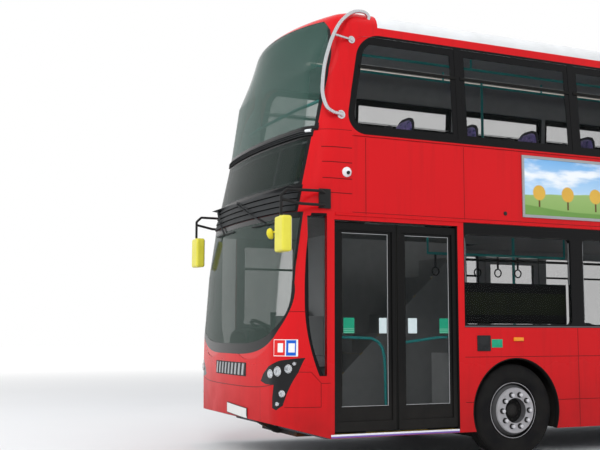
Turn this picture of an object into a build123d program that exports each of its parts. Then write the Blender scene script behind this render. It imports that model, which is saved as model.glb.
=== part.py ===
from build123d import *
import os
from math import asin, atan2, degrees, hypot, sqrt

os.makedirs("parts", exist_ok=True)

# Overall sizes. +X is forward, +Y is the door side, +Z is up, and the origin is on the ground under the middle
front_overhang = 2740
wheelbase = 5330
rear_overhang = 2330
body_length = front_overhang + wheelbase + rear_overhang
body_width = 2520
roof_z = 4540
skirt_z = 285
wall = 50
roof_wall = 60
roof_radius = 180
bow_radius = 6500
brow_bow_radius = 2200
corner_radius = 340
tail_radius = 140
nose_x = body_length / 2
tail_x = -body_length / 2
side_y = body_width / 2
front_axle_x = nose_x - front_overhang
rear_axle_x = front_axle_x - wheelbase

# Clearances: seats of fixed pieces, running fits and gaps round moving pieces
seat = 0.3
fit = 0.05
gap = 8

# Heights of the joints between panels
waist_z = 2440
deck_z = 3250
cantrail_z = 4290
brow_z = 3900
bumper_z = 800
bumper_rise = 155

# Profile of the nose: height, set back from the foremost point, lean of the side, radius of the front
lower_levels = (
    (skirt_z, 8, 0, bow_radius),
    (900, 0, 0, bow_radius),
    (1300, 7, 0, bow_radius),
    (1900, 50, 0, bow_radius),
    (waist_z, 129, 0, bow_radius),
    (deck_z, 302, 0, bow_radius),
)
roof_lean = 88
brow_lean = roof_lean * (brow_z - deck_z) / (roof_z - deck_z)
upper_levels = (
    (deck_z, 302, 0, bow_radius),
    (brow_z, 390, brow_lean, bow_radius),
    (roof_z, 500, roof_lean, brow_bow_radius),
)

# Lengthwise joints between front, side and rear panels
front_split_x = nose_x - 590
mid_split_x = nose_x - 824
roof_split_x = nose_x - 1160
nose_back_x = roof_split_x - 100
rear_split_x = tail_x + 220

# Floors and deck
floor_z = 320
floor_t = 40
rear_floor_z = 700
rear_step_lead = 870
rear_step_x = rear_axle_x + rear_step_lead
deck_floor_z = waist_z
deck_floor_t = 55
bulkhead_lag = 1330
bulkhead_x = rear_axle_x - bulkhead_lag
floor_front_x = nose_x - 560

# Wheels and axles
tyre_r = 479
tyre_w = 276
tyre_shoulder = 38
rim_r = 286
rim_w = 210
rim_t = 14
hub_r = 128
nave_r = 228
nave_proud = 40
nave_t = 13
stud_pcd = 335
stud_count = 10
nut_r = 17
nut_t = 30
front_wheel_y = 1085
twin_outer_y = 1080
twin_spacing = 314
kingpin_y = 930
spindle_r = 45
rear_spindle_r = 60
axle_tube_r = 70
arch_r = 540

# Wheel boxes: the length each side of the axle, the inner face and the top
box_t = 20
front_box = (575, 580, 1045)
rear_box = (560, 590, 1045)

# Doorways: x of the rear and front jambs, sill and header
entrance_x = (nose_x - 2036, nose_x - 630)
exit_x = (front_axle_x - 2760, front_axle_x - 1560)
door_sill_z = 308
door_head_z = 2370
leaf_t = 36
leaf_set_back = 25
leaf_arm_t = 10
leaf_arm_gap = 6
leaf_jamb_gap = 10
leaf_mid_gap = 16
post_r = 18
post_offset = 60
post_recess = 30
pin_r = 8
leaf_border = 46
pane_t = 6

# Windows of the lower deck: x of both ends; all share sill and head
lower_sill_z = 1370
lower_head_z = 2290
lower_window_r = 40
escape_x = (front_axle_x - 2270, front_axle_x - 1370)
escape_z = (330, 2300)
rear_windows = (
    (rear_axle_x + 60, rear_axle_x + 1440),
    (rear_axle_x - 1280, rear_axle_x - 60),
)
near_lower_windows = (
    (nose_x - 3489, nose_x - 2120),
    (exit_x[1] + 120, nose_x - 3654),
    (rear_axle_x + 1560, exit_x[0] - 120),
    *rear_windows,
)
off_lower_windows = (
    (nose_x - 1340, nose_x - 640),
    (escape_x[1] + 100, front_axle_x - 890),
    (rear_axle_x + 1560, escape_x[0] - 120),
    *rear_windows,
)

# Windows of the upper deck
upper_sill_z = 3262
upper_head_z = 4262
upper_window_r = 30
upper_front_r = 210
upper_bay = 1500
upper_pillar = 60
upper_first_x = nose_x - 2130
upper_last_x = tail_x + 270
upper_last_w = 400
upper_bays = int((upper_first_x - upper_last_x - upper_last_w) // upper_bay)
upper_windows = [
    (upper_first_x - (bay + 1) * upper_bay + upper_pillar, upper_first_x - bay * upper_bay)
    for bay in range(upper_bays)
]
upper_windows.append((upper_last_x, upper_first_x - upper_bays * upper_bay))
upper_front_window = (upper_first_x + upper_pillar, mid_split_x - 2)

# Glass layer under the outer skin
glass_depth = 4
glass_t = 8

# Front glass: half widths and heights, looking from the front
screen_top_z = waist_z
screen_low_z = 1062
screen_shoulder_z = 1750
screen_low_y = 300
screen_mid_y = 1030
screen_mid_z = 1232
screen_side_y = 1190
blind_low_z = 2690
blind_high_z = 3205
blind_half_y = 1140

# Upper front glass on one side, looking from the front: foot, knee, bend, shoulder and crown
brow_glass = (
    (1178, deck_z + 25),
    (1174, 3780),
    (1128, roof_z - 335),
    (930, roof_z - 92),
    (0, roof_z - 62),
)
quarter_x = (nose_x - 550, nose_x - 360)
quarter_z = (880, 2400)
quarter_bend = (nose_x - 410, 1130)
quarter_foot_x = nose_x - 510
quarter_knee_z = 1480

# Lamp outlines on the nearside, looking from the front: y, z
lamp_outline = (
    (812, 815),
    (862, 884),
    (958, 958),
    (1102, 1016),
    (side_y - 10, 1045),
    (1228, 905),
    (1168, 718),
    (1134, 598),
    (1069, 551),
    (1019, 570),
    (1020, 667),
    (1040, 786),
    (900, 790),
)

# Stairs over the offside front wheel
stair_foot_x = nose_x - 1360
stair_run = 245
stair_steps = 8
stair_inner_y = -556
tread_t = 40

# Engine lid in the tail
lid_half_y = 900
lid_z = (620, 1700)

# Hinges: round edge of half the wall about a pin in each end
hinge_pin_r = 8
hinge_pin_l = 70
lid_hinge = (tail_x + wall / 2, lid_z[1] - gap - wall / 2)
escape_hinge = (escape_x[1] - gap - wall / 2, wall / 2 - side_y)

# Tail lamps: heights of the stack on each side
tail_lamp_r = 62
tail_lamp_t = 14
tail_lamp_y = side_y - tail_radius - 80
tail_lamp_heights = (860, 1010, 1160, 1310)
tail_lamp_places = [(tail_x, hand * tail_lamp_y, z) for hand in (1, -1) for z in tail_lamp_heights]

# Rear window of the upper deck
tail_glass_half_y = 850
tail_glass_z = (3330, 4150)


# Plan of the nose at one height: a bowed front with rounded corners and straight sides
def nose_outline(setback, lean, front_bow, inset):
    nose = nose_x - setback - inset
    side = side_y - lean - inset
    bow = front_bow - inset
    corner = corner_radius - inset
    sweep = degrees(asin((side - corner) / (bow - corner)))
    corner_x = nose - bow + sqrt((bow - corner) ** 2 - (side - corner) ** 2)
    CenterArc((nose - bow, 0), bow, -sweep, 2 * sweep)
    CenterArc((corner_x, side - corner), corner, sweep, 90 - sweep)
    Line((corner_x, side), (nose_back_x, side))
    Line((nose_back_x, side), (nose_back_x, -side))
    Line((nose_back_x, -side), (corner_x, -side))
    CenterArc((corner_x, corner - side), corner, -90, 90 - sweep)


# Nose form between two heights, set in from the outer skin
def nose_form(levels, inset, top_cut=0, top_radius=0):
    with BuildPart() as form:
        for height, setback, lean, front_bow in levels:
            drop = top_cut if height == levels[-1][0] else 0
            with BuildSketch(Plane.XY.offset(height - drop)):
                with BuildLine():
                    nose_outline(setback, lean, front_bow, inset)
                make_face()
        loft(ruled=True)
        if top_radius:
            top_edges = form.faces().sort_by(Axis.Z)[-1].edges().sort_by(Axis.X)[1:]
            fillet(top_edges, radius=top_radius)
    return form.part


# Straight lower body from the tail to the front split, set in from the outer skin
def lower_form(inset):
    with BuildPart() as form:
        span_box(
            (tail_x + inset, front_split_x),
            (inset - side_y, side_y - inset),
            (skirt_z, deck_z),
        )
        fillet(form.edges().filter_by(Axis.Z).sort_by(Axis.X)[:2], radius=tail_radius - inset)
    return form.part


# Straight upper body: leaning sides, rounded roof edges and a rounded tail
def upper_form(inset, top_cut=0):
    top = roof_z - top_cut
    foot_y = side_y - inset
    head_y = side_y - inset - roof_lean * (top - deck_z) / (roof_z - deck_z)
    with BuildPart() as form:
        with BuildSketch(Plane.YZ.offset(tail_x + inset)) as section:
            with BuildLine():
                Polyline((-foot_y, deck_z), (foot_y, deck_z), (head_y, top), (-head_y, top), close=True)
            make_face()
            fillet(section.vertices().sort_by(Axis.Y)[2:], radius=roof_radius - inset)
        extrude(amount=roof_split_x - tail_x - inset)
        tail_face = form.faces().sort_by(Axis.X)[0]
        fillet(tail_face.edges().sort_by(Axis.Z)[1:], radius=tail_radius - inset)
    return form.part


# Part of a body form inside a box given by its limits
def slice_of(form, x, y, z):
    with BuildPart() as piece:
        add(form)
        with Locations(((x[0] + x[1]) / 2, (y[0] + y[1]) / 2, (z[0] + z[1]) / 2)):
            Box(x[1] - x[0], y[1] - y[0], z[1] - z[0], mode=Mode.INTERSECT)
    return piece.part


# Box given by its limits, for use inside a part block
def span_box(x, y, z, mode=Mode.ADD):
    with Locations(((x[0] + x[1]) / 2, (y[0] + y[1]) / 2, (z[0] + z[1]) / 2)):
        Box(x[1] - x[0], y[1] - y[0], z[1] - z[0], mode=mode)


# Rounded window drawn on a side of the bus, cut from outside to well inside the wall
def side_prism(x, z, radius, side, shrink=0, front_radius=0):
    with BuildPart() as prism:
        with BuildSketch(Plane.XZ.offset(-side * (side_y + wall))) as outline:
            with Locations(((x[0] + x[1]) / 2, (z[0] + z[1]) / 2)):
                Rectangle(x[1] - x[0] - 2 * shrink, z[1] - z[0] - 2 * shrink)
            fillet(outline.vertices().sort_by(Axis.X)[-2:], radius=front_radius or radius)
            fillet(outline.vertices().sort_by(Axis.X)[:2], radius=radius)
        extrude(amount=side * 6 * wall)
    return prism.part


# Quarterlight drawn on a side: its lower front corner sweeps back over the headlamp
def quarter_prism(side, shrink=0):
    rear = quarter_x[0] + shrink
    fore = quarter_x[1] - shrink
    foot = quarter_z[0] + shrink
    head = quarter_z[1] - shrink
    with BuildPart() as prism:
        with BuildSketch(Plane.XZ.offset(-side * (side_y + wall))):
            with BuildLine():
                Polyline((quarter_foot_x, foot), (rear, foot), (rear, head), (fore, head), (fore, quarter_knee_z))
                ThreePointArc(
                    (fore, quarter_knee_z),
                    (quarter_bend[0] - shrink, quarter_bend[1] + shrink),
                    (quarter_foot_x, foot),
                )
            make_face()
        extrude(amount=side * 6 * wall)
    return prism.part


# Front glass outlines, drawn in the YZ plane ahead of the nose and pushed back through the wall
def front_prism(name, shrink=0):
    with BuildPart() as prism:
        with BuildSketch(Plane.YZ.offset(nose_x - 4 * corner_radius)):
            with BuildLine():
                if name == "screen":
                    top = screen_top_z - shrink
                    side = screen_side_y - shrink
                    low = screen_low_z + shrink
                    shoulder = (side, screen_shoulder_z)
                    bend = (screen_mid_y - shrink, screen_mid_z + shrink)
                    Polyline((-screen_low_y, low), (screen_low_y, low))
                    ThreePointArc((screen_low_y, low), bend, shoulder)
                    Polyline(shoulder, (side, top), (-side, top), (-side, screen_shoulder_z))
                    ThreePointArc((-side, screen_shoulder_z), (-bend[0], bend[1]), (-screen_low_y, low))
                if name == "blind":
                    half = blind_half_y - shrink
                    low = blind_low_z + shrink
                    high = blind_high_z - shrink
                    Polyline((-half, low), (half, low), (half, high), (-half, high), (-half, low))
                if name == "upper":
                    foot, knee, bend, shoulder, crown = [(max(y - shrink, 0), z - shrink) for y, z in brow_glass]
                    foot = (foot[0], foot[1] + 2 * shrink)
                    Polyline((-knee[0], knee[1]), (-foot[0], foot[1]), foot, knee)
                    ThreePointArc(knee, bend, shoulder)
                    ThreePointArc(shoulder, crown, (-shoulder[0], shoulder[1]))
                    ThreePointArc((-shoulder[0], shoulder[1]), (-bend[0], bend[1]), (-knee[0], knee[1]))
            make_face()
        extrude(amount=6 * corner_radius)
    return prism.part


# Both halves of a lamp, from its outline on the nearside
def lamp_prism(shrink=0):
    with BuildPart() as prism:
        with BuildSketch(Plane.YZ.offset(nose_x - 1.2 * corner_radius)):
            with BuildLine():
                Polyline(*lamp_outline, close=True)
            make_face()
            if shrink:
                offset(amount=-shrink)
        extrude(amount=3 * corner_radius)
        mirror(about=Plane.XZ)
    return prism.part


cabin_nose = nose_form(lower_levels, wall + seat)

with BuildPart() as nose_shell:
    add(nose_form(lower_levels, 0))
    add(nose_form(lower_levels, wall), mode=Mode.SUBTRACT)

with BuildPart() as brow_shell:
    add(nose_form(upper_levels, 0, 0, roof_radius))
    add(nose_form(upper_levels, wall, roof_wall, roof_radius - wall), mode=Mode.SUBTRACT)

with BuildPart() as lower_shell:
    add(lower_form(0))
    add(lower_form(wall), mode=Mode.SUBTRACT)

with BuildPart() as upper_shell:
    add(upper_form(0))
    add(upper_form(wall, roof_wall), mode=Mode.SUBTRACT)

glass_back = glass_depth + glass_t
with BuildPart() as nose_skin:
    add(nose_form(lower_levels, glass_depth))
    add(nose_form(lower_levels, glass_back), mode=Mode.SUBTRACT)

with BuildPart() as brow_skin:
    add(nose_form(upper_levels, glass_depth, glass_depth, roof_radius - glass_depth))
    add(nose_form(upper_levels, glass_back, glass_back, roof_radius - glass_back), mode=Mode.SUBTRACT)

with BuildPart() as upper_skin:
    add(upper_form(glass_depth, glass_depth))
    add(upper_form(glass_back, glass_back), mode=Mode.SUBTRACT)

ahead_x = nose_x + wall
behind_x = tail_x - wall
beyond_y = side_y + wall
full_y = (-beyond_y, beyond_y)

# Front bumper: the painted panel round both corners, its lower edge rising to the nose
with BuildPart() as front_bumper:
    add(slice_of(nose_shell.part, (front_split_x, ahead_x), full_y, (skirt_z, bumper_z)))
    add(lamp_prism(), mode=Mode.SUBTRACT)
    with BuildSketch(Plane.XZ.offset(-beyond_y)):
        with BuildLine():
            rise_end_z = skirt_z + bumper_rise * (ahead_x - front_split_x) / (nose_x - front_split_x)
            Polyline((front_split_x, skirt_z), (ahead_x, skirt_z), (ahead_x, rise_end_z), close=True)
        make_face()
    extrude(amount=2 * beyond_y, mode=Mode.SUBTRACT)

# Front panel: the lower front of the body, open for the windscreen and both quarterlights
with BuildPart() as front_panel:
    add(slice_of(nose_shell.part, (front_split_x, ahead_x), full_y, (bumper_z, waist_z)))
    add(front_prism("screen"), mode=Mode.SUBTRACT)
    add(lamp_prism(), mode=Mode.SUBTRACT)
    for hand in (1, -1):
        add(quarter_prism(hand), mode=Mode.SUBTRACT)

# Windscreen: one deep curved pane
with BuildPart() as windscreen:
    add(slice_of(nose_skin.part, (front_split_x, ahead_x), full_y, (bumper_z, waist_z - seat)))
    add(front_prism("screen", seat), mode=Mode.INTERSECT)

# Middle front panel: between the decks, open for the destination glass
with BuildPart() as front_mid_panel:
    add(slice_of(nose_shell.part, (mid_split_x, ahead_x), full_y, (waist_z, deck_z)))
    add(front_prism("blind"), mode=Mode.SUBTRACT)

with BuildPart() as destination_glass:
    add(slice_of(nose_skin.part, (mid_split_x, ahead_x), full_y, (waist_z, deck_z)))
    add(front_prism("blind", seat), mode=Mode.INTERSECT)

# Upper front moulding: corner pillars and dome in one
with BuildPart() as front_dome:
    add(slice_of(brow_shell.part, (mid_split_x, ahead_x), full_y, (deck_z, roof_z)))
    add(slice_of(brow_shell.part, (roof_split_x, mid_split_x), full_y, (cantrail_z, roof_z)))
    add(front_prism("upper"), mode=Mode.SUBTRACT)

with BuildPart() as upper_windscreen:
    add(slice_of(brow_skin.part, (roof_split_x, ahead_x), full_y, (deck_z, roof_z)))
    add(front_prism("upper", seat), mode=Mode.INTERSECT)

# Roof: the long middle and rear roof panel with its rounded edges
with BuildPart() as roof:
    add(slice_of(upper_shell.part, (behind_x, roof_split_x), full_y, (cantrail_z, roof_z)))

# Rear corner and centre panels
with BuildPart() as rear_lower:
    add(slice_of(lower_shell.part, (behind_x, rear_split_x), full_y, (skirt_z, waist_z)))
    span_box((behind_x, rear_split_x), (-lid_half_y, lid_half_y), lid_z, mode=Mode.SUBTRACT)
    with Locations(*tail_lamp_places):
        Cylinder(tail_lamp_r + seat, 2 * (tail_lamp_t + seat), rotation=(0, 90, 0), mode=Mode.SUBTRACT)
    for hand in (1, -1):
        with Locations((lid_hinge[0], hand * (lid_half_y - hinge_pin_l / 2 + 1), lid_hinge[1])):
            Cylinder(hinge_pin_r, hinge_pin_l, rotation=(90, 0, 0))

# Rear middle panel between the decks, and the rear upper panel round the window
with BuildPart() as rear_mid_panel:
    add(slice_of(lower_shell.part, (behind_x, rear_split_x), full_y, (waist_z, deck_z)))

with BuildPart() as rear_upper:
    add(slice_of(upper_shell.part, (behind_x, rear_split_x), full_y, (deck_z, cantrail_z)))
    span_box(
        (behind_x, rear_split_x - 2 * wall),
        (-tail_glass_half_y, tail_glass_half_y),
        tail_glass_z,
        mode=Mode.SUBTRACT,
    )

# Rear glass: a flat pane that is also an emergency exit
with BuildPart() as rear_glass:
    span_box(
        (tail_x + glass_depth, tail_x + glass_depth + glass_t),
        (seat - tail_glass_half_y, tail_glass_half_y - seat),
        (tail_glass_z[0] + seat, tail_glass_z[1] - seat),
    )

# Engine lid: hinged along its top edge
with BuildPart() as engine_lid:
    span_box(
        (tail_x, tail_x + wall),
        (gap - lid_half_y, lid_half_y - gap),
        (lid_z[0] + gap, lid_hinge[1]),
    )
    with Locations((lid_hinge[0], 0, lid_hinge[1])):
        Cylinder(wall / 2, 2 * (lid_half_y - gap), rotation=(90, 0, 0))
        Cylinder(hinge_pin_r + fit, 2 * lid_half_y, rotation=(90, 0, 0), mode=Mode.SUBTRACT)

# Side panels of the lower deck: doorways, arches and windows are cut through them, with the header rail
# and the step edges of the doorways as panels of their own
with BuildPart() as side_lower_near:
    add(slice_of(lower_shell.part, (rear_split_x, front_split_x), (0, beyond_y), (skirt_z, waist_z)))
    for x_range in near_lower_windows:
        add(side_prism(x_range, (lower_sill_z, lower_head_z), lower_window_r, 1), mode=Mode.SUBTRACT)
    for x_range in (entrance_x, exit_x):
        span_box(x_range, (0, beyond_y), (door_sill_z, door_head_z), mode=Mode.SUBTRACT)
    for axle_x in (front_axle_x, rear_axle_x):
        with Locations((axle_x, side_y, tyre_r)):
            Cylinder(arch_r, 4 * wall, rotation=(90, 0, 0), mode=Mode.SUBTRACT)
    whole_x = (rear_split_x, front_split_x)
    span_box(whole_x, (0, beyond_y), (door_head_z, door_head_z + seat), mode=Mode.SUBTRACT)
    for x in entrance_x + exit_x:
        span_box((x - seat / 2, x + seat / 2), (0, beyond_y), (skirt_z, door_sill_z), mode=Mode.SUBTRACT)

with BuildPart() as side_lower_off:
    add(slice_of(lower_shell.part, (rear_split_x, front_split_x), (-beyond_y, 0), (skirt_z, waist_z)))
    for x_range in off_lower_windows:
        add(side_prism(x_range, (lower_sill_z, lower_head_z), lower_window_r, -1), mode=Mode.SUBTRACT)
    span_box(escape_x, (-beyond_y, 0), escape_z, mode=Mode.SUBTRACT)
    for end_z, inward in ((escape_z[0], 1), (escape_z[1], -1)):
        with Locations((*escape_hinge, end_z + inward * (hinge_pin_l / 2 - 1))):
            Cylinder(hinge_pin_r, hinge_pin_l)
    for axle_x in (front_axle_x, rear_axle_x):
        with Locations((axle_x, -side_y, tyre_r)):
            Cylinder(arch_r, 4 * wall, rotation=(90, 0, 0), mode=Mode.SUBTRACT)


# Side panel of the upper deck on one side
def upper_side(side):
    y_range = (0, beyond_y) if side > 0 else (-beyond_y, 0)
    with BuildPart() as panel:
        add(slice_of(lower_shell.part, (rear_split_x, mid_split_x), y_range, (waist_z, deck_z)))
        add(slice_of(upper_shell.part, (rear_split_x, roof_split_x), y_range, (deck_z, cantrail_z)))
        add(slice_of(brow_shell.part, (roof_split_x, mid_split_x), y_range, (deck_z, cantrail_z)))
        z_range = (upper_sill_z, upper_head_z)
        for x_range in upper_windows:
            add(side_prism(x_range, z_range, upper_window_r, side), mode=Mode.SUBTRACT)
        add(
            side_prism(upper_front_window, z_range, upper_window_r, side, 0, upper_front_r),
            mode=Mode.SUBTRACT,
        )
    return panel.part


# Side glass of one side: every pane of both decks
def side_glass(side, lower_windows):
    y_range = (0, beyond_y) if side > 0 else (-beyond_y, 0)
    y_pane = sorted((side * (side_y - glass_depth), side * (side_y - glass_back)))
    z_upper = (upper_sill_z, upper_head_z)
    with BuildPart() as quarter:
        add(slice_of(nose_skin.part, (front_split_x, ahead_x), y_range, (bumper_z, waist_z)))
        add(quarter_prism(side, seat), mode=Mode.INTERSECT)
    with BuildPart() as high_cutters:
        for x_range in upper_windows:
            add(side_prism(x_range, z_upper, upper_window_r, side, seat))
        add(side_prism(upper_front_window, z_upper, upper_window_r, side, seat, upper_front_r))
    with BuildPart() as panes:
        add(slice_of(upper_skin.part, (rear_split_x, roof_split_x), y_range, (deck_z, cantrail_z)))
        add(slice_of(brow_skin.part, (roof_split_x, ahead_x), y_range, (deck_z, cantrail_z)))
        add(high_cutters.part, mode=Mode.INTERSECT)
        add(quarter.part)
        for x_range in lower_windows:
            with BuildSketch(Plane.XZ.offset(-y_pane[1])):
                with Locations(((x_range[0] + x_range[1]) / 2, (lower_sill_z + lower_head_z) / 2)):
                    width = x_range[1] - x_range[0] - 2 * seat
                    RectangleRounded(width, lower_head_z - lower_sill_z - 2 * seat, lower_window_r)
            extrude(amount=glass_t)
    return panes.part


with BuildPart() as side_upper_near:
    add(upper_side(1))

with BuildPart() as side_upper_off:
    add(upper_side(-1))

with BuildPart() as glass_near:
    add(side_glass(1, near_lower_windows))

with BuildPart() as glass_off:
    add(side_glass(-1, off_lower_windows))

# Emergency door: hinged at its front edge, glazed above the waist
with BuildPart() as emergency_door:
    span_box(
        (escape_x[0] + gap, escape_hinge[0]),
        (-side_y, wall - side_y),
        (escape_z[0] + gap, escape_z[1] - gap),
    )
    with Locations((*escape_hinge, (escape_z[0] + escape_z[1]) / 2)):
        Cylinder(wall / 2, escape_z[1] - escape_z[0] - 2 * gap)
        Cylinder(hinge_pin_r + fit, escape_z[1] - escape_z[0], mode=Mode.SUBTRACT)
    pane_x = (escape_x[0] + 2 * leaf_border, escape_x[1] - 2 * leaf_border)
    pane_z = (lower_sill_z, lower_head_z - 2 * leaf_border)
    span_box(pane_x, (-side_y, -side_y + glass_depth), pane_z, mode=Mode.SUBTRACT)
    span_box(pane_x, (glass_depth + glass_t - side_y, wall - side_y), pane_z, mode=Mode.SUBTRACT)

# Lower floor: panels round the wheel boxes, low to the rear axle and then one step up
floor_y = side_y - wall - seat
low_mid_y = front_box[1] - box_t - seat
high_mid_y = rear_box[1] - box_t - seat
front_reach = front_box[0] + box_t + seat
rear_reach = rear_box[0] + box_t + seat
low_rear_x = rear_step_x + floor_t + seat
high_fore_x = rear_step_x - seat

# Floor panels of one half: rear and fore ends, inner and outer edges, top
floor_panels = (
    (low_rear_x, front_axle_x - front_reach, low_mid_y + seat, floor_y, floor_z),
    (front_axle_x + front_reach, floor_front_x, low_mid_y + seat, floor_y, floor_z),
    (rear_axle_x + rear_reach, high_fore_x, high_mid_y + seat, floor_y, rear_floor_z),
    (bulkhead_x, rear_axle_x - rear_reach, high_mid_y + seat, floor_y, rear_floor_z),
)
with BuildPart() as lower_floor:
    for rear_x, fore_x, inner_y, outer_y, top in floor_panels:
        for y_range in ((inner_y, outer_y), (-outer_y, -inner_y)):
            span_box((rear_x, fore_x), y_range, (top - floor_t, top))
    span_box((low_rear_x, floor_front_x), (-low_mid_y, low_mid_y), (floor_z - floor_t, floor_z))
    span_box((bulkhead_x, high_fore_x), (-high_mid_y, high_mid_y), (rear_floor_z - floor_t, rear_floor_z))
    span_box((rear_step_x, rear_step_x + floor_t), (-floor_y, floor_y), (floor_z - floor_t, rear_floor_z))

# Wheel boxes: open below and to the outside, over each wheel; the rear ones stop above the axle tube
rear_box_foot = tyre_r + axle_tube_r + floor_t
wheel_box_places = (
    (front_axle_x, front_box, floor_z - floor_t),
    (rear_axle_x, rear_box, rear_box_foot),
)
with BuildPart() as wheel_boxes:
    for axle_x, (half_x, inner_y, top_z), foot_z in wheel_box_places:
        for y_range in ((inner_y - box_t, floor_y), (-floor_y, box_t - inner_y)):
            span_box((axle_x - half_x - box_t, axle_x + half_x + box_t), y_range, (foot_z, top_z + box_t))
    for axle_x, (half_x, inner_y, top_z), foot_z in wheel_box_places:
        for y_range in ((inner_y, side_y), (-side_y, -inner_y)):
            span_box((axle_x - half_x, axle_x + half_x), y_range, (0, top_z), mode=Mode.SUBTRACT)

# Engine bulkhead closes the saloon ahead of the engine bay
with BuildPart() as bulkhead:
    span_box(
        (bulkhead_x - floor_t - seat, bulkhead_x - seat),
        (-floor_y, floor_y),
        (rear_floor_z - floor_t, deck_floor_z - deck_floor_t),
    )

# Upper floor, open over the stairs
stair_head_x = stair_foot_x - stair_run * (stair_steps + 1)
with BuildPart() as upper_floor:
    z_range = (deck_floor_z - deck_floor_t, deck_floor_z)
    span_box((tail_x + wall + seat, mid_split_x), (-floor_y, floor_y), z_range)
    fillet(upper_floor.edges().filter_by(Axis.Z).sort_by(Axis.X)[:2], radius=tail_radius - wall)
    add(slice_of(cabin_nose, (mid_split_x, ahead_x), full_y, z_range))
    span_box(
        (stair_head_x, stair_foot_x - stair_run),
        (-side_y, stair_inner_y),
        z_range,
        mode=Mode.SUBTRACT,
    )

# Stairs: open treads and risers with a closed panel on the gangway side
stair_rise = (deck_floor_z - floor_z) / (stair_steps + 1)
with BuildPart() as stairs:
    with BuildSketch(Plane.XZ.offset(floor_y)):
        for step in range(stair_steps):
            x_front = stair_foot_x - step * stair_run
            z_top = floor_z + (step + 1) * stair_rise
            with BuildLine():
                Polyline(
                    (x_front, z_top),
                    (x_front - stair_run - tread_t, z_top),
                    (x_front - stair_run - tread_t, z_top - tread_t),
                    (x_front - tread_t, z_top - tread_t),
                    (x_front - tread_t, z_top - stair_rise - (tread_t if step else 0)),
                    (x_front, z_top - stair_rise - (tread_t if step else 0)),
                    close=True,
                )
            make_face()
    extrude(amount=-(floor_y + stair_inner_y))
    with BuildSketch(Plane.XZ.offset(-stair_inner_y)):
        with BuildLine():
            top_x = stair_foot_x - stair_steps * stair_run
            Polyline(
                (stair_foot_x, floor_z),
                (stair_foot_x, floor_z + stair_rise),
                (top_x, deck_floor_z - deck_floor_t),
                (top_x - tread_t, deck_floor_z - deck_floor_t),
                (top_x - tread_t, floor_z),
                close=True,
            )
        make_face()
    extrude(amount=-box_t)

# Driver's cab: a raised plinth, the screen behind and the low side wall with its hinge lugs
cab_x = (stair_foot_x + 60, nose_x - 620)
cab_inner_y = -330
plinth_z = floor_z + 150
screen_t = 25
cab_wall_z = 1500
cab_door_x = (cab_x[0] + 40, cab_x[1] - 40)
cab_door_z = (plinth_z + gap, cab_wall_z - 5 * gap)
cab_hinge = (cab_door_x[1] - screen_t / 2, cab_inner_y + screen_t / 2)
cab_pin_r = 5
with BuildPart() as cab_screen:
    wall_y = (cab_inner_y, cab_inner_y + screen_t)
    span_box(cab_x, (-floor_y, cab_inner_y), (floor_z, plinth_z))
    span_box((cab_x[0], cab_x[0] + screen_t), (-floor_y, cab_inner_y), (floor_z, deck_floor_z - deck_floor_t))
    for x_range in ((cab_x[0], cab_door_x[0] - gap), (cab_door_x[1] + gap, cab_x[1])):
        span_box(x_range, wall_y, (floor_z, cab_wall_z))
    lug_x = (cab_hinge[0] - screen_t / 2, cab_x[1])
    for z_range in ((plinth_z - 3 * gap, plinth_z), (cab_door_z[1] + gap, cab_wall_z)):
        span_box(lug_x, wall_y, z_range)
    for end_z in (plinth_z, cab_door_z[1] + gap):
        with Locations((*cab_hinge, end_z)):
            Cylinder(cab_pin_r, 6 * gap)

# Cab door: half height, turning on pins in its front edge
with BuildPart() as cab_door:
    span_box((cab_door_x[0], cab_hinge[0]), wall_y, cab_door_z)
    with Locations((*cab_hinge, (cab_door_z[0] + cab_door_z[1]) / 2)):
        Cylinder(screen_t / 2, cab_door_z[1] - cab_door_z[0])
        Cylinder(cab_pin_r + fit, cab_door_z[1] - cab_door_z[0], mode=Mode.SUBTRACT)

# Dashboard: the ledge under the windscreen, the driver's binnacle, column and steering wheel
ledge_z = (960, 1060)
binnacle_z = 1150
dash_foot_z = skirt_z + bumper_rise + 30
dash_back_x = cab_x[1] + 10
kick_t = 20
column_w = 60
wheel_rim_r = 235
wheel_rim_t = 35
wheel_boss_r = 55
spoke_w = 40
wheel_centre = (nose_x - 770, -760, 1290)
with BuildPart() as dashboard:
    add(slice_of(cabin_nose, (floor_front_x - kick_t, ahead_x), full_y, ledge_z))
    add(slice_of(cabin_nose, (dash_back_x, ahead_x), (-side_y, cab_inner_y), (dash_foot_z, binnacle_z)))
    span_box((floor_front_x - kick_t, floor_front_x), (cab_inner_y, floor_y - kick_t), (floor_z, ledge_z[0]))
    with BuildSketch(Plane.XZ.offset(-wheel_centre[1] - column_w / 2)):
        with BuildLine():
            Polyline(
                (dash_back_x + 130, ledge_z[0] + 40),
                (dash_back_x + 130, ledge_z[1] + 30),
                (wheel_centre[0] + 20, wheel_centre[2] + 20),
                (wheel_centre[0] - 20, wheel_centre[2] - 20),
                (dash_back_x + 30, ledge_z[0] + 40),
                close=True,
            )
        make_face()
    extrude(amount=column_w)
    with BuildSketch(Plane(origin=wheel_centre, x_dir=(0, 1, 0), z_dir=(-0.55, 0, 0.83))):
        Circle(wheel_rim_r)
        Circle(wheel_rim_r - wheel_rim_t, mode=Mode.SUBTRACT)
        Rectangle(2 * wheel_rim_r - wheel_rim_t, spoke_w)
        Circle(wheel_boss_r)
    extrude(amount=15, both=True)

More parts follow.
